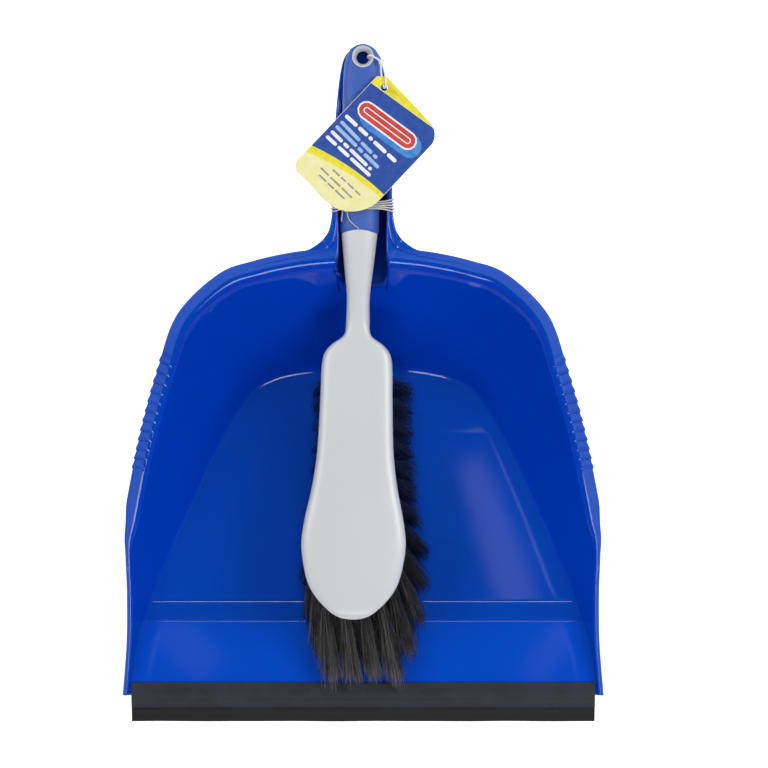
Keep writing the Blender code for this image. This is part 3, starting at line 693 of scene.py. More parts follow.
def pan_patches():
    """Grids of the pan's right half (scoop, rim, channel, back wall), and the channel mouth's line."""
    wings = [wing_station(station) for station in scoop_stations()]
    inner, bands = [wing[0] for wing in wings], [wing[1] for wing in wings]
    wall_end = FLOOR_COLUMNS + len(FILLET_SHARES) + WALL_ROWS
    last_wall = inner[-1][FLOOR_COLUMNS : wall_end + 1]
    foot, top = last_wall[len(FILLET_SHARES)], last_wall[-1]

    def wall_y(z):
        return blend(foot[1], top[1], (z - foot[2]) / (top[2] - foot[2]))

    mouth = channel_profile(top[0], channel_z(THROAT_Y), top[2])
    first = [[x, wall_y(z), z] for x, z in mouth] + [inner[-1][wall_end + 1]]
    channel = [first]
    for index, station in enumerate(handle_stations()[1:], 1):
        points, band = handle_station(station, smooth_step(index, 0, 6), wall_y)
        channel.append(points)
        bands.append(band)
    inner = [points[: wall_end + 2] + [band[0]] for points, band in zip(inner, bands)]
    channel = [points + [band[0]] for points, band in zip(channel, bands[len(inner) - 1 :])]
    return (inner, bands, channel, back_wall_rows(last_wall, mouth)), first


def make_pan(material):
    """The scoop and its channel handle: one mirrored skin, given its thickness, with the hang hole cut last."""
    patches, mouth_line = pan_patches()
    points, faces, marks = [], [], {}
    # The channel patch gets zone -1, which the material paints with shade
    for patch, zone in zip(patches, (0.0, 1.0, -1.0, 0.0)):
        for side in (1.0, -1.0):
            faces += grid_faces(len(patch), len(patch[0]), len(points))
            for x, y, z in (place for row in patch for place in row):
                value = blend(1.0, GLOSSY_RIM, smooth_step(y, *GLOSSY_RIM_Y)) if zone > 0.0 else zone
                marks.setdefault(point_key((side * x, y, z)), value)
                points.append([side * x, y, z])
    pan = make_mesh("pan_shell_fine", points, faces, [material], welded=0.02)
    mark_zones(pan, marks)
    mark_bevel(pan, [[side * x, y, z] for side in (1.0, -1.0) for x, y, z in mouth_line])
    face_up(pan)
    bevel = pan.modifiers.new("mouth_edge", "BEVEL")
    bevel.limit_method = "WEIGHT"
    bevel.width = MOUTH_ROUND * MM
    bevel.segments = 3
    shell = pan.modifiers.new("shell", "SOLIDIFY")
    shell.thickness = SHELL * MM
    shell.offset = -1.0
    shell.use_quality_normals = True
    cut(pan, rod(0.0, PAN_HOLE_Y, PAN_HOLE_R, 50.0, 80.0), "pan_hang_hole")
    return pan


def point_key(point):
    return tuple(np.round(np.array(point), 2) + 0.0)


def mark_zones(item, marks):
    """Zone attribute: 1 on the textured rim, 0 on the glossy scoop, -1 deep in the handle's channel, where the
    material paints shade.
    """
    layer = item.data.attributes.new("zone", "FLOAT", "POINT")
    for vertex in item.data.vertices:
        layer.data[vertex.index].value = marks.get(point_key(np.array(vertex.co) / MM), 0.0)


def mark_bevel(item, line):
    """Gives full bevel weight to the edges between points of this line."""
    near = np.array(line)
    places = np.array([vertex.co for vertex in item.data.vertices]) / MM
    on_line = set()
    for point in near:
        found = np.argmin(np.sum((places - point) ** 2, axis=1))
        if np.sum((places[found] - point) ** 2) < 0.01:
            on_line.add(int(found))
    weight = item.data.attributes.new("bevel_weight_edge", "FLOAT", "EDGE")
    for edge in item.data.edges:
        if edge.vertices[0] in on_line and edge.vertices[1] in on_line:
            weight.data[edge.index].value = 1.0


def face_up(item):
    """Turns the open skin over if its floor faces down."""
    total = sum(face.normal.z * face.area for face in item.data.polygons)
    if total < 0.0:
        item.data.flip_normals()


# ---------------------------------------------------------------- rubber lip

LIP_HALF_LENGTH = 152.2
LIP_BLADE_Y = (-210.0, -208.5)
LIP_OUTLINE = (
    (-218.5, 0.05), (-218.6, 0.6), (-218.4, 1.15), (-214.0, 2.0), (-209.6, 3.0), (-209.3, 3.3), (-209.1, 3.9),
    (-208.6, 4.25), (-205.0, 5.7), (-203.6, 6.1), (-203.2, 5.95), (-202.8, 6.15), (-198.0, 6.55), (-193.4, 6.85),
    (-192.6, 6.6), (-192.5, 5.75), (-197.0, 5.3), (-201.3, 4.98), (-201.4, 2.1), (-200.5, 2.0), (-194.0, 2.0),
    (-193.5, 1.6), (-193.6, 0.2), (-194.2, 0.0), (-206.0, 0.0), (-217.8, 0.0),
)
LIP_SLICES = 150


def make_lip(material):
    """Extruded rubber lip, its thin blade a little wavy along its free edge."""
    slices = []
    for index in range(LIP_SLICES + 1):
        x = LIP_HALF_LENGTH * (2.0 * index / LIP_SLICES - 1.0)
        wobble = 0.16 * math.sin(5.0 * x / 60.0) + 0.1 * math.sin(x / 7.3 + 1.0)
        shifts = [smooth_step(-y, 209.0, 218.6) * (0.5 * (wobble - 0.2) + 0.1) for y, _ in LIP_OUTLINE]
        slices.append([(x, y + shift, z) for (y, z), shift in zip(LIP_OUTLINE, shifts)])
    return make_mesh("rubber_lip_fine", *capped_loft(slices), [material], sharp=40.0)


# ---------------------------------------------------------------- brush

def brush_matrix():
    pivot = Matrix.Translation((BRUSH_PIVOT[0], BRUSH_PIVOT[1], 0.0))
    return pivot @ Matrix.Rotation(BRUSH_TURN, 4, "Z") @ Matrix.Translation((0.0, -BRUSH_PIVOT[1], 0.0))


def turned(points):
    """Points of the brush's own frame, where the turned brush has them."""
    matrix = np.array(brush_matrix())
    points = np.asarray(points, float)
    return points @ matrix[:3, :3].T + matrix[:3, 3]


RING_SIDES = 96


def rounded_ring(y, half, low, high, squareness, crown=0.0):
    """Ring round the Y axis; more squareness is flatter, and crown lifts the middle of the top."""
    middle, tall = 0.5 * (low + high), 0.5 * (high - low)
    ring = []
    for side in range(RING_SIDES):
        angle = math.tau * (side + 0.5) / RING_SIDES
        sine, cosine = math.sin(angle), math.cos(angle)
        size = (abs(cosine) ** squareness + abs(sine) ** squareness) ** (-1.0 / squareness)
        lift = crown * max(0.0, sine) * (1.0 - (size * cosine) ** 2)
        ring.append((half * size * cosine, y, middle + tall * size * sine + lift))
    return ring


def circle(radius, sides, phase=0.0):
    """Points (across, up) round a circle."""
    angles = [math.tau * side / sides + phase for side in range(sides)]
    return [(radius * math.cos(angle), radius * math.sin(angle)) for angle in angles]


def end_caps(count, sides):
    """Faces over the first and the last of some rings."""
    return [tuple(range(sides)), tuple(range((count - 1) * sides, count * sides))]


def capped_loft(rings):
    count, sides = len(rings), len(rings[0])
    points = [point for ring in rings for point in ring]
    return points, grid_faces(count, sides, closed=True) + end_caps(count, sides)


def lathe(x, y, outline, sides=64):
    """Solid turned round an upright axis at x, y from its outline (radius, z)."""
    rings = []
    for radius, z in outline:
        rings.append([(x + across, y + up, z) for across, up in circle(max(radius, 0.001), sides)])
    return capped_loft(rings)


def rod(x, y, radius, low, high):
    """Upright round solid with its ends closed at the axis, for cutting holes."""
    return lathe(x, y, ((0.0, low), (radius, low), (radius, high), (0.0, high)))


def cut(target, shape, name, sharp=None):
    """Boolean difference applied to the target; the tool is removed afterwards."""
    tool = make_mesh(name, *shape, [])
    change = target.modifiers.new(name, "BOOLEAN")
    change.operation = "DIFFERENCE"
    change.solver = "EXACT"
    change.object = tool
    view = bpy.context.evaluated_depsgraph_get()
    mesh = bpy.data.meshes.new_from_object(target.evaluated_get(view))
    target.modifiers.clear()
    target.data = mesh
    bpy.data.objects.remove(tool, do_unlink=True)
    if sharp:
        smooth(mesh, sharp)


def core_squareness(y):
    return blend(BLOCK_SQUARENESS, NECK_SQUARENESS, smooth_step(y, NECK_START_Y, NECK_END_Y))


def tuft_places():
    widths = [(row[0], row[1]) for row in CORE_STATIONS]
    places = []
    for row in range(TUFT_ROWS):
        y = TUFT_BACK_Y - row * TUFT_PITCH_Y
        for (y0, w0), (y1, w1) in zip(widths, widths[1:]):
            if y0 <= y <= y1:
                half = blend(w0, w1, (y - y0) / (y1 - y0)) - TUFT_EDGE
        count = max(2, 1 + round(2.0 * half / TUFT_PITCH_X))
        places += [(blend(-half, half, index / (count - 1)), y) for index in range(count)]
    return places


def tuft_tip(x, y):
    """Where a tuft's end lies, leaning right and forward, and how much it fans out and up at the front."""
    forward = smooth_step(-y, 0.0, -CORE_STATIONS[0][0])
    fan = smooth_step(-y, *FAN_Y)
    tip_x = x * blend(*SPLAY_X, forward) + blend(*LEAN_X, forward)
    return tip_x, y + blend(*LEAN_Y, forward) - FAN_REACH * fan, FAN_LIFT * fan


TUFT_HOLE = ((2.6, BLOCK_UNDER_Z - 3.0), (2.6, BLOCK_UNDER_Z + 4.5))


def make_core(material):
    """Grey block and neck, with rounded edges and a blind hole for each tuft."""
    rows = smooth_rows(CORE_STATIONS, 6)
    rings = [rounded_ring(CORE_STATIONS[0][0] - 0.25, 0.6, 64.2, 65.8, 2.0)]
    rings += [rounded_ring(y, half, low, high, core_squareness(y)) for y, half, low, high in rows]
    points, faces = capped_loft(rings)
    core = make_mesh("brush_block_fine", turned(points), faces, [material])
    places = turned([(x, y, 0.0) for x, y in tuft_places()])
    cut(core, joined([lathe(x, y, TUFT_HOLE, 20) for x, y, _ in places]), "tuft_holes", sharp=40.0)
    return core


LINER_SIDES = 64
LINER_OUTLINE = (
    (6.15, 78.9), (6.15, 88.2), (6.9, 89.6), (6.8, 89.9), (6.4, 89.95), (5.9, 89.5),
    (5.1, 87.0), (4.4, 84.0), (4.0, 80.0), (4.1, 78.7), (5.2, 78.5),
)


def make_liner(material):
    """Pale tapered ring of the core that shows inside the grip's hang hole."""
    x, y, _ = turned([(0.0, HANG_HOLE_Y, 0.0)])[0]
    points = []
    for across, up in circle(1.0, LINER_SIDES) + [(1.0, 0.0)]:
        points += [(x + r * across, y + r * up, z) for r, z in LINER_OUTLINE]
    faces = grid_faces(LINER_SIDES + 1, len(LINER_OUTLINE), closed=True)
    return make_mesh("hang_hole_liner", points, faces, [material], sharp=50.0)


def grip_ring(y, half):
    rise = smooth_step(y, *GRIP_RISE_Y)
    low = blend(*GRIP_LOW_Z, rise)
    high = blend(*GRIP_HIGH_Z, (y - GRIP_FRONT_Y) / (GRIP_TIP_Y - GRIP_FRONT_Y))
    middle = 0.5 * (low + high)
    tall = 0.5 * (high - low) * blend(0.45, 1.0, min(1.0, 1.6 * half / GRIP_HALF))
    return rounded_ring(y, half, middle - tall, middle + tall, GRIP_SQUARENESS)


# Rounded front end of the grip: how far in from its surface, and how far back
GRIP_END = ((2.4, 0.5), (1.3, 0.0), (0.7, 0.25), (0.25, 0.8), (0.0, 1.8))
GRIP_AXIS_Z = 76.0
GRIP_END_DIP = 2.4


def make_grip(material):
    """Soft blue overmould with a rounded front edge that dips at the sides, and the hang hole."""
    rings = []
    for inset, back in GRIP_END:
        ring = []
        for x, y, z in grip_ring(GRIP_FRONT_Y + back, GRIP_HALF):
            shrink = 1.0 - inset / math.hypot(x, z - GRIP_AXIS_Z)
            dip = GRIP_END_DIP * (x / GRIP_HALF) ** 2 + 1.0
            ring.append((x * shrink, y - dip, GRIP_AXIS_Z + (z - GRIP_AXIS_Z) * shrink))
        rings.append(ring)
    rings += [grip_ring(y, GRIP_HALF) for y in np.arange(GRIP_FRONT_Y + 4.0, GRIP_PLAN[0][0], 3.0)]
    rings += [grip_ring(y, half) for y, half in smooth_rows(GRIP_PLAN, 5)]
    points, faces = capped_loft(rings)
    grip = make_mesh("brush_grip_fine", turned(points), faces, [material])
    x, y, _ = turned([(0.0, HANG_HOLE_Y, 0.0)])[0]
    flared = ((0.0, 70.0), (LINER_R, 70.0), (LINER_R, 88.0), (LINER_R + 1.6, 92.0), (0.0, 92.0))
    cut(grip, lathe(x, y, flared), "hang_hole", sharp=40.0)
    return grip


EDGE_STRANDS = 230
INNER_STRANDS = 70
CLUMPS = 9
STRAND_STEPS = 7
STRAND_R = 0.21
ROOT_SPREAD = 1.9
TIP_SPREAD = 3.2
STRAY_SPREAD = 5.5
FRONT_TUFTS_Y = (85.0, 125.0)


def strand_path(x, y, clump, random):
    """Points down one bristle: tight at the root, leaning with its clump, with an uneven end."""
    tip_x, tip_y, lift = tuft_tip(x, y)
    angle, radius = random.uniform(0.0, math.tau), math.sqrt(random.uniform(0.0, 1.0))
    stray = random.uniform(0.0, 1.0) ** 7
    spread = TIP_SPREAD * radius + STRAY_SPREAD * stray
    ground = floor_height(tip_y) + 0.6
    length = 1.0 + random.normal(0.0, 0.03) - 0.08 * stray + clump[2]
    side = 2.2 * smooth_step(x, 0.0, 18.0) * smooth_step(y, -135.0, -90.0)
    end_x = tip_x + side + clump[0] + spread * math.cos(angle) + random.normal(0.0, 0.5)
    end_y = tip_y + clump[1] + spread * math.sin(angle) + random.normal(0.0, 0.5)
    root = (x + ROOT_SPREAD * radius * math.cos(angle), y + ROOT_SPREAD * radius * math.sin(angle))
    end_x, end_y = blend(root[0], end_x, length), blend(root[1], end_y, length)
    end_z = max(ground, blend(BLOCK_UNDER_Z, ground + lift * random.uniform(0.3, 1.1), length))
    bend = random.uniform(0.0, 0.45)
    wave, phase = random.normal(0.0, 0.55, 2), random.uniform(0.0, math.tau)
    path = []
    for step in range(STRAND_STEPS + 1):
        share = step / STRAND_STEPS
        across = blend(share, share**2, bend)
        path.append((
            blend(root[0], end_x, across) + wave[0] * share * math.sin(3.0 * math.pi * share + phase),
            blend(root[1], end_y, across) + wave[1] * share * math.cos(2.4 * math.pi * share + phase),
            blend(BLOCK_UNDER_Z + 3.0, end_z, share),
        ))
    return path, phase


def tuft_strands(x, y, count, random):
    """Bristles of one tuft, in clumps, as three-sided tapering strands."""
    clumps = []
    for index in range(CLUMPS):
        angle = math.tau * index / (CLUMPS - 1) + random.uniform(-0.4, 0.4)
        reach = blend(5.0, 4.3, smooth_step(-y, *FRONT_TUFTS_Y)) if index else 0.0
        clumps.append((reach * math.cos(angle), reach * math.sin(angle), random.normal(0.0, 0.035)))
    points, faces, tips = [], [], []
    for number in range(count):
        path, phase = strand_path(x, y, clumps[number % CLUMPS], random)
        # pale: random tone for each strand, times a painted highlight that is strongest on the frontmost tufts
        pale = random.uniform(0.15, 1.0) ** 1.5 * blend(0.6, 2.1, smooth_step(-y, *FRONT_TUFTS_Y))
        start = len(points)
        for step, place in enumerate(path):
            share = step / STRAND_STEPS
            size = STRAND_R * (1.0 - 0.5 * share**3)
            points += [(place[0] + across, place[1] + up, place[2]) for across, up in circle(size, 3, phase)]
            tips += [pale * blend(0.3, 1.0, share)] * 3
        faces += grid_faces(STRAND_STEPS + 1, 3, start, closed=True)
        top = start + 3 * STRAND_STEPS
        faces += [(start, start + 2, start + 1), (top, top + 1, top + 2)]
    return points, faces, tips


def edge_tufts(places):
    """Whether each tuft shows from above: it ends a row, or is in one of the three front rows."""
    rows = sorted({y for _, y in places})
    ends = {y: (min(x for x, v in places if v == y), max(x for x, v in places if v == y)) for y in rows}
    return [y in rows[:3] or x in ends[y] for x, y in places]


def make_bristles(material):
    random = np.random.RandomState(11)
    made = []
    places = tuft_places()
    for number, ((x, y), shows) in enumerate(zip(places, edge_tufts(places)), 1):
        points, faces, tips = tuft_strands(x, y, EDGE_STRANDS if shows else INNER_STRANDS, random)
        tuft = make_mesh(f"bristles_{number:02d}", turned(points), faces, [material], welded=0.0)
        layer = tuft.data.attributes.new("tip", "FLOAT", "POINT")
        layer.data.foreach_set("value", tips)
        made.append(tuft)
    return made


# ---------------------------------------------------------------- tubes

def tube(path, radius, sides=10, closed=False):
    """Round tube along a path of points, with caps where it is open."""
    path = [Vector(point) for point in path]
    count = len(path)
    points = []
    normal = None
    for index, place in enumerate(path):
        before = path[(index - 1) % count] if closed or index else place
        after = path[(index + 1) % count] if closed or index < count - 1 else place
        along = (after - before).normalized()
        if normal is None:
            normal = along.orthogonal().normalized()
        normal = (normal - along * normal.dot(along)).normalized()
        other = along.cross(normal)
        points += [tuple(place + (normal * side + other * up) * radius) for side, up in circle(1.0, sides)]
    faces = grid_faces(count, sides, closed=True)
    if closed:
        first = (count - 1) * sides
        shift = closing_shift(points, sides, first)
        for side in range(sides):
            after = (side + 1) % sides
            faces.append((first + side, first + after, (after + shift) % sides, (side + shift) % sides))
    else:
        faces += end_caps(count, sides)
    return points, faces


def closing_shift(points, sides, first):
    """Which corner of the first ring lies nearest to the last ring's first corner."""
    last = np.array(points[first])
    return int(np.argmin([np.sum((np.array(points[side]) - last) ** 2) for side in range(sides)]))


def joined(parts):
    points, faces = [], []
    for more_points, more_faces in parts:
        start = len(points)
        points += [tuple(point) for point in more_points]
        faces += [tuple(corner + start for corner in face) for face in more_faces]
    return points, faces


TIE_Y = (112.0, 121.0)
TIE_RADIUS = 0.5
TIE_TURNS = 5
TIE_OVER_GRIP = ((10.2, 86.6), (4.0, 87.5), (-2.0, 87.7), (-8.5, 87.5), (-14.2, 85.6))


def tie_path(y, grow, pull):
    """Closed path round both handles; pull brings it together on top of the grip."""
    middle = 0.5 * (TIE_Y[0] + TIE_Y[1])
    low = channel_z(middle) - SHELL - 0.7
    rim = handle_rim_z(middle) + 0.35
    corners = (
        (19.6, rim - 3.0), (19.5, rim), (16.5, rim + 1.8), *TIE_OVER_GRIP,
        (-17.6, rim + 0.9), (-19.5, rim), (-19.6, rim - 3.0), (-18.9, rim - 9.0), (-17.6, low + 4.6),
        (-11.0, low), (0.0, low - 0.2), (11.0, low), (17.6, low + 4.6), (18.9, rim - 9.0),
    )
    path = []
    for x, z in smooth_rows(corners, 5, closed=True):
        away = Vector((x, z - GRIP_AXIS_Z)).normalized() * grow
        near = smooth_step(z, rim, 87.0)
        path.append((x + away.x, blend(y, middle + pull, 0.55 * near), z + away.y))
    return path


def make_tie(material):
    """Thin elastic wound round both handles, its turns fanned out at the sides."""
    parts = []
    for turn in range(TIE_TURNS):
        y = blend(TIE_Y[0] + TIE_RADIUS, TIE_Y[1] - TIE_RADIUS, turn / (TIE_TURNS - 1))
        path = tie_path(y, 0.1 + 0.25 * (turn % 2), 0.3 * (turn - TIE_TURNS // 2))
        parts.append(tube(path, TIE_RADIUS, 8, closed=True))
    return make_mesh("tie_strands", *joined(parts), [material], welded=0.0)


TAIL_ROUTES = (
    (
        (-9.6, 113.0, 87.6), (-9.4, 110.0, 86.9), (-8.2, 107.2, 86.9),
        (-6.0, 104.6, 87.1), (-3.4, 102.6, 87.2), (-2.2, 101.6, 87.3),
    ),
    ((-12.6, 113.0, 86.6), (-12.9, 110.4, 85.4), (-13.2, 108.2, 84.4), (-13.1, 106.2, 84.2)),
)
KNOT_AT = (-9.8, 113.4, 88.0)
KNOT_SIZE = (1.3, 0.9, 0.5)
KNOT_STEPS = 30


def make_tie_tails(material):
    """The elastic's knot and its two loose ends on the grip."""
    parts = [tube(smooth_rows(route, 5), 0.33, 8) for route in TAIL_ROUTES]
    knot = []
    for step in range(KNOT_STEPS):
        angle = math.tau * step / KNOT_STEPS
        turns = (math.cos(angle), math.sin(2.0 * angle), math.sin(angle))
        knot.append(tuple(at + size * turn for at, size, turn in zip(KNOT_AT, KNOT_SIZE, turns)))
    parts.append(tube(knot, 0.4, 8, closed=True))
    return make_mesh("tie_tails", *joined(parts), [material], welded=0.0)


# ---------------------------------------------------------------- tag

TAG_ANGLE = math.radians(-43.5)
TAG_HINGE = (13.8, 190.6, 92.0)
TAG_THICK = 0.45
TAG_HOLE_R = 2.2
TAG_HOLE_UV = (8.25, -1.8)
INK_LIFT = 0.004
INK_LEVEL = 0.02

# Lines of plain bars: left end (x, y), bar lengths, height, slant, ink
PRINT_LINES = (
    (2.6, -31.4, (10.2, 7.8, 3.0, 10.6, 7.4), 2.5, 0.014, "white"),
    (3.0, -36.2, (17.4, 9.8, 3.4), 2.3, -0.04, "light"),
    (2.8, -40.4, (18.6, 4.2, 12.8), 2.3, -0.02, "light"),
    (2.8, -44.8, (10.0, 4.4, 15.2, 2.6), 2.3, -0.01, "white"),
    (2.8, -49.2, (8.8, 9.6, 17.0), 2.3, 0.02, "white"),
    (20.4, -61.8, (6.0, 4.4, 5.6, 4.6), 1.2, 0.01, "grey"),
    (14.0, -66.2, (7.4, 8.8, 9.2), 1.2, -0.01, "grey"),
    (16.4, -70.2, (6.4, 5.4, 8.2), 1.2, 0.0, "grey"),
)
MARK = (4.2, -20.6, 44.0, 12.0, 0.12)
MARK_RINGS = ((0.0, "white", 3), (1.1, "red", 4), (3.9, "white", 5), (4.6, "red", 6))
PRINT_INSET = 0.06


def corner_arc(centre, radius, start, end, steps):
    angles = [math.radians(blend(start, end, step / steps)) for step in range(steps + 1)]
    return [(centre[0] + radius * math.cos(a), centre[1] + radius * math.sin(a)) for a in angles]


def tag_outline():
    """Card outline, its top left corner at (0, 0) and its length running to -y."""
    outline = [(0.0, 0.0), (0.0, -72.0)]
    outline += corner_arc((7.0, -72.0), 7.0, 180.0, 250.0, 14)[1:]
    outline += [(15.6, -78.4), (27.6, -79.6)]
    outline += corner_arc((30.5, -55.0), 24.5, -82.0, 0.0, 26)
    outline += corner_arc((44.0, -9.0), 11.0, 0.0, 86.0, 20)
    outline += [(29.7, 3.1), (12.6, 3.8), (4.5, 4.3)]
    return outline


def on_tag(points, height):
    """Tag coordinates to the model's frame, at a height above the card's underside."""
    matrix = Matrix.Translation(TAG_HINGE) @ Matrix.Rotation(TAG_ANGLE, 4, "Z")
    return [tuple(matrix @ Vector((x - TAG_HOLE_UV[0], y - TAG_HOLE_UV[1], height))) for x, y in points]


def flat_shape(outline, low, high):
    """Prism over a flat outline, in tag coordinates, as points and faces."""
    return capped_loft([on_tag(outline, low), on_tag(outline, high)])


def make_card(material):
    card = make_mesh("tag_card", *flat_shape(tag_outline(), 0.0, TAG_THICK), [material])
    cut(card, rod(*TAG_HINGE[:2], TAG_HOLE_R, 91.0, 94.0), "tag_hole", sharp=35.0)
    return card


def top_line(x):
    """Upper edge of the blue panel."""
    return -5.6 + 5.9 * x / 44.6


def bottom_line(x):
    """Lower edge of the blue panel, a shallow arc."""
    return -51.0 - 9.0 * ((54.0 - x) / 54.0) ** 2


def strip_between(low_line, high_line, inset=PRINT_INSET, steps=90):
    """Outline between two lines across the card, inset from its edge."""
    outline = shrink(tag_outline(), inset)
    points = []
    for x in (blend(-1.0, 56.0, step / steps) for step in range(steps + 1)):
        ys = crossings(outline, x)
        if ys:
            points.append((x, max(min(ys), low_line(x)), min(max(ys), high_line(x))))
    points = [row for row in points if row[2] > row[1]]
    return [(x, low) for x, low, high in points] + [(x, high) for x, low, high in reversed(points)]


def crossings(outline, x):
    found = []
    for (x0, y0), (x1, y1) in zip(outline, outline[1:] + outline[:1]):
        if (x0 - x) * (x1 - x) < 0.0:
            found.append(blend(y0, y1, (x - x0) / (x1 - x0)))
    return found


TAG_CENTRE = (27.5, -37.0)


def shrink(outline, inset):
    found = []
    for x, y in outline:
        length = math.hypot(x - TAG_CENTRE[0], y - TAG_CENTRE[1])
        found.append((x + (TAG_CENTRE[0] - x) * inset / length, y + (TAG_CENTRE[1] - y) * inset / length))
    return found


def bar(x, y, width, height, slant=0.0):
    """Rounded bar, its left end at (x, y)."""
    radius = 0.5 * height
    right = corner_arc((x + width - radius, y + slant * (width - radius)), radius, -90.0, 90.0, 6)
    left = corner_arc((x + radius, y + slant * radius), radius, 90.0, 270.0, 6)
    return right + left


def word_bars(x, y, widths, height, slant=0.0, gap=1.1):
    """A line of plain bars that stands for printed words."""
    bars = []
    for width in widths:
        bars.append(bar(x, y, width, height, slant))
        x += width + gap
        y += slant * (width + gap)
    return bars


def print_layers():
    """Outline, ink and level of each printed area."""
    x, y, width, height, slant = MARK
    layers = [
        (strip_between(lambda u: -90.0, bottom_line), "pale", 1),
        (strip_between(lambda u: bottom_line(u) - 5.4 + 0.05 * u, bottom_line), "yellow", 2),
        (strip_between(bottom_line, top_line), "blue", 1),
        (bar(x + 4.0, y - 1.5, width + 1.0, height + 3.0, slant), "glow", 2),
    ]
    for left, low, widths, tall, slope, ink in PRINT_LINES:
        layers += [(shape, ink, 4) for shape in word_bars(left, low, widths, tall, slope)]
    for inset, ink, level in MARK_RINGS:
        ring = bar(x + inset, y + slant * inset, width - 2.0 * inset, height - 2.0 * inset, slant)
        layers.append((ring, ink, level))
    return layers


def ink_shape(outline, level):
    """Printed area as a thin prism; higher levels lie over lower ones."""
    low = TAG_THICK + INK_LIFT
    return flat_shape(outline, low, low + INK_LEVEL * level)


def make_print(inks):
    """Flat printed areas on the card: panels, bars for lines of words, and a plain lozenge for the mark."""
    names = list(inks)
    shapes, slots = [], []
    for outline, ink, level in print_layers():
        shapes.append(ink_shape(outline, level))
        slots += [names.index(ink)] * len(shapes[-1][1])
    printed = make_mesh("tag_print", *joined(shapes), list(inks.values()), welded=0.0, sharp=30.0)
    printed.data.polygons.foreach_set("material_index", slots)
    return printed


def make_top_print(material):
    """Yellow printed wedge above the panel, with the tag's hole through it."""
    outline = strip_between(lambda u: top_line(u) + 0.25, lambda u: 20.0)
    wedge = make_mesh("tag_top_print", *ink_shape(outline, 1), [material], sharp=30.0)
    cut(wedge, rod(*TAG_HINGE[:2], TAG_HOLE_R, 91.0, 94.0), "print_hole")
    return wedge


LOOP_RADIUS = 0.6
LOOP_ROUTE = (
    (6.0, 210.6, 91.6), (3.9, 210.7, 90.6), (3.4, 210.7, 85.0), (3.5, 210.6, 79.0), (5.2, 210.3, 75.6),
    (9.0, 209.8, 75.2), (12.8, 209.2, 78.0), (13.9, 208.6, 84.0), (13.5, 207.8, 89.6), (12.6, 206.4, 92.2),
    (14.0, 200.5, 93.6), (14.9, 194.5, 94.0), (14.3, 191.0, 93.0), (13.7, 190.5, 91.0), (12.8, 193.2, 90.4),
    (12.0, 199.0, 91.0), (11.1, 206.8, 92.6),
)
LOCK_AT = (11.9, 206.6, 92.4)
LOCK_RADIUS = 1.55
LOCK_HALF_LENGTH = 1.9
LOCK_STEPS = 14


def make_loop(material):
    """Nylon loop through the hang hole and the tag's hole, with its barrel-shaped lock."""
    x, y, z = LOCK_AT
    rings = []
    for step in range(LOCK_STEPS + 1):
        share = -1.0 + 2.0 * step / LOCK_STEPS
        size = LOCK_RADIUS * (1.0 - abs(share) ** 3.0) ** 0.5 + 0.05
        rings.append([(x + across, y + LOCK_HALF_LENGTH * share, z + up) for across, up in circle(size, 24)])
    strand = tube(smooth_rows(LOOP_ROUTE, 10, closed=True), LOOP_RADIUS, 12, closed=True)
    shape = joined([strand, capped_loft(rings)])
    return make_mesh("tag_loop_fine", *shape, [material], welded=0.0, sharp=50.0)


# ---------------------------------------------------------------- setting

WHITE = (1.0, 1.0, 1.0, 1.0)
FLOOR_HALF = 6000.0
FLOOR_Z = -0.4
# Name, place, size and watts of each softbox; all face the middle of the set
SOFTBOXES = (
    ("softbox_left", (-1250.0, 250.0, 1550.0), (620.0, 900.0), 11.0),
    ("softbox_right", (1250.0, 150.0, 1550.0), (620.0, 900.0), 16.0),
    ("softbox_back", (-100.0, 1350.0, 1600.0), (900.0, 520.0), 11.0),
    ("softbox_front", (100.0, -1400.0, 1500.0), (900.0, 520.0), 11.0),
)
# Name, place, size, watts and turn in degrees of small boxes beside the camera; they face down and show as
# pale reflections in the glossy floor
GLINTS = (
    ("glint_floor", (161.0, 122.0, 2320.0), (42.0, 205.0), 0.03, 20.0),
    ("glint_ramp_right", (244.0, -672.0, 2320.0), (36.0, 110.0), 0.006, -35.6),
    ("glint_ramp_left", (-250.0, -668.0, 2320.0), (45.0, 110.0), 0.006, 40.0),
)
GLINT_COLOUR = (1.0, 0.82, 0.82)


def make_floor():
    """Pale sweep that stays bright under the set."""
    material = Look("studio_floor").finish(
        Base_Color=(0.9, 0.9, 0.9, 1.0), Roughness=0.9, Specular_IOR_Level=0.0,
        Emission_Color=WHITE, Emission_Strength=0.8,
    )
    corners = [(FLOOR_HALF * x, FLOOR_HALF * y, FLOOR_Z) for x, y in ((-1, -1), (1, -1), (1, 1), (-1, 1))]
    make_mesh("studio_floor", corners, [(0, 1, 2, 3)], [material], welded=0.0)


def add_light(name, place, size, watts):
    """Rectangular light that faces down."""
    light = bpy.data.lights.new(name, "AREA")
    light.shape = "RECTANGLE"
    light.size, light.size_y = size[0] * MM, size[1] * MM
    light.energy = watts
    item = add_object(name, light)
    item.location = Vector(place) * MM
    return item


def make_setting():
    make_floor()
    for name, place, size, watts in SOFTBOXES:
        item = add_light(name, place, size, watts)
        item.rotation_euler = (-Vector(place)).to_track_quat("-Z", "Y").to_euler()
    for name, place, size, watts, turn in GLINTS:
        item = add_light(name, place, size, watts)
        item.rotation_euler = (0.0, 0.0, math.radians(turn))
        item.data.color = GLINT_COLOUR
    world = bpy.data.worlds.new("studio")
    world.use_nodes = True
    world.node_tree.nodes["Background"].inputs["Color"].default_value = WHITE
    world.node_tree.nodes["Background"].inputs["Strength"].default_value = 0.06
    camera = bpy.data.cameras.new("camera")
    camera.lens = CAMERA_LENS
    camera.sensor_width = SENSOR
    camera.clip_end = 50.0
    item = add_object("camera", camera)
    item.location = Vector(CAMERA_AT) * MM
    scene = bpy.context.scene
    scene.world = world
    scene.camera = item
    scene.view_settings.view_transform = "Standard"


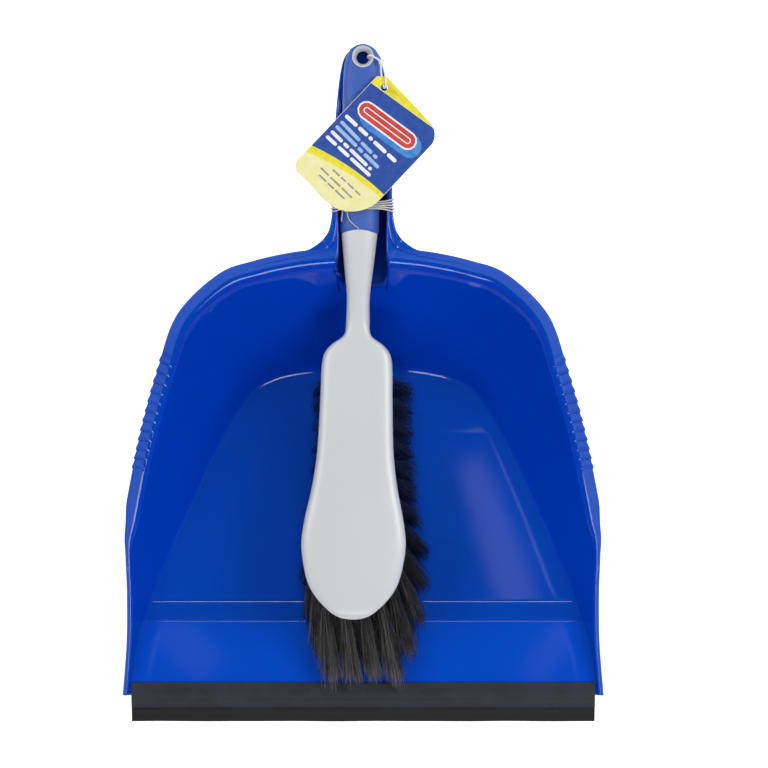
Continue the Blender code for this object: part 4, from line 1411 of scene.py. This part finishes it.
INKS = {
    "blue": ((0.022, 0.075, 0.36), (0.03, 0.09, 0.40)),
    "yellow": ((0.86, 0.74, 0.035), (0.92, 0.83, 0.06)),
    "pale": ((0.90, 0.86, 0.38), (0.93, 0.90, 0.5)),
    "white": ((0.85, 0.87, 0.92), (0.92, 0.93, 0.97)),
    "grey": ((0.3, 0.31, 0.36), (0.4, 0.41, 0.46)),
    "light": ((0.32, 0.5, 0.82), (0.4, 0.58, 0.88)),
    "glow": ((0.05, 0.22, 0.62), (0.08, 0.3, 0.72)),
    "red": ((0.6, 0.05, 0.045), (0.68, 0.08, 0.06)),
}


def place(piece, body, slot, *nodes):
    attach(piece, body)
    if nodes:
        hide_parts(*nodes)


def main():
    grey = moulded_material(
        "brush_grey", (0.655, 0.675, 0.70), (0.67, 0.69, 0.712), (0.285, 0.33), 12.0, 700.0, 0.02
    )
    grip = moulded_material(
        "grip_blue", (0.036, 0.11, 0.46), (0.052, 0.135, 0.5), (0.45, 0.55), 40.0, 2200.0, 0.05
    )
    nylon = moulded_material(
        "loop_white", (0.8, 0.8, 0.78), (0.9, 0.9, 0.88), (0.3, 0.4), 90.0, 900.0, 0.01
    )
    elastic = moulded_material(
        "tie_elastic", (0.62, 0.6, 0.57), (0.8, 0.78, 0.75), (0.29, 0.36), 220.0, 1500.0, Transmission_Weight=0.15
    )
    card = print_material("card_edge", (0.80, 0.78, 0.62), (0.86, 0.84, 0.7))
    inks = {ink: print_material("ink_" + ink, *colours) for ink, colours in INKS.items()}
    place(make_pan(pan_material()), "pan", "pan_plastic", "pan_shell")
    place(make_lip(lip_material()), "pan", "lip_rubber", "rubber_lip")
    place(make_core(grey), "brush", "brush_plastic", "brush_core")
    place(make_liner(grey), "brush", "brush_plastic")
    place(make_grip(grip), "brush", "grip_rubber", "brush_grip")
    for number, tuft in enumerate(make_bristles(bristle_material()), 1):
        place(tuft, "brush", "bristle", f"tuft_{number:02d}")
    tie = make_tie(elastic)
    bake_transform(tie)
    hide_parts("tie_band")
    place(make_tie_tails(elastic), "brush", "tie_elastic")
    place(make_card(card), "tag", "tag_card", "hang_tag")
    place(make_print(inks), "tag", "tag_card")
    place(make_top_print(inks["yellow"]), "tag", "tag_card")
    place(make_loop(nylon), "brush", "loop_nylon", "tag_loop")
    make_setting()


main()
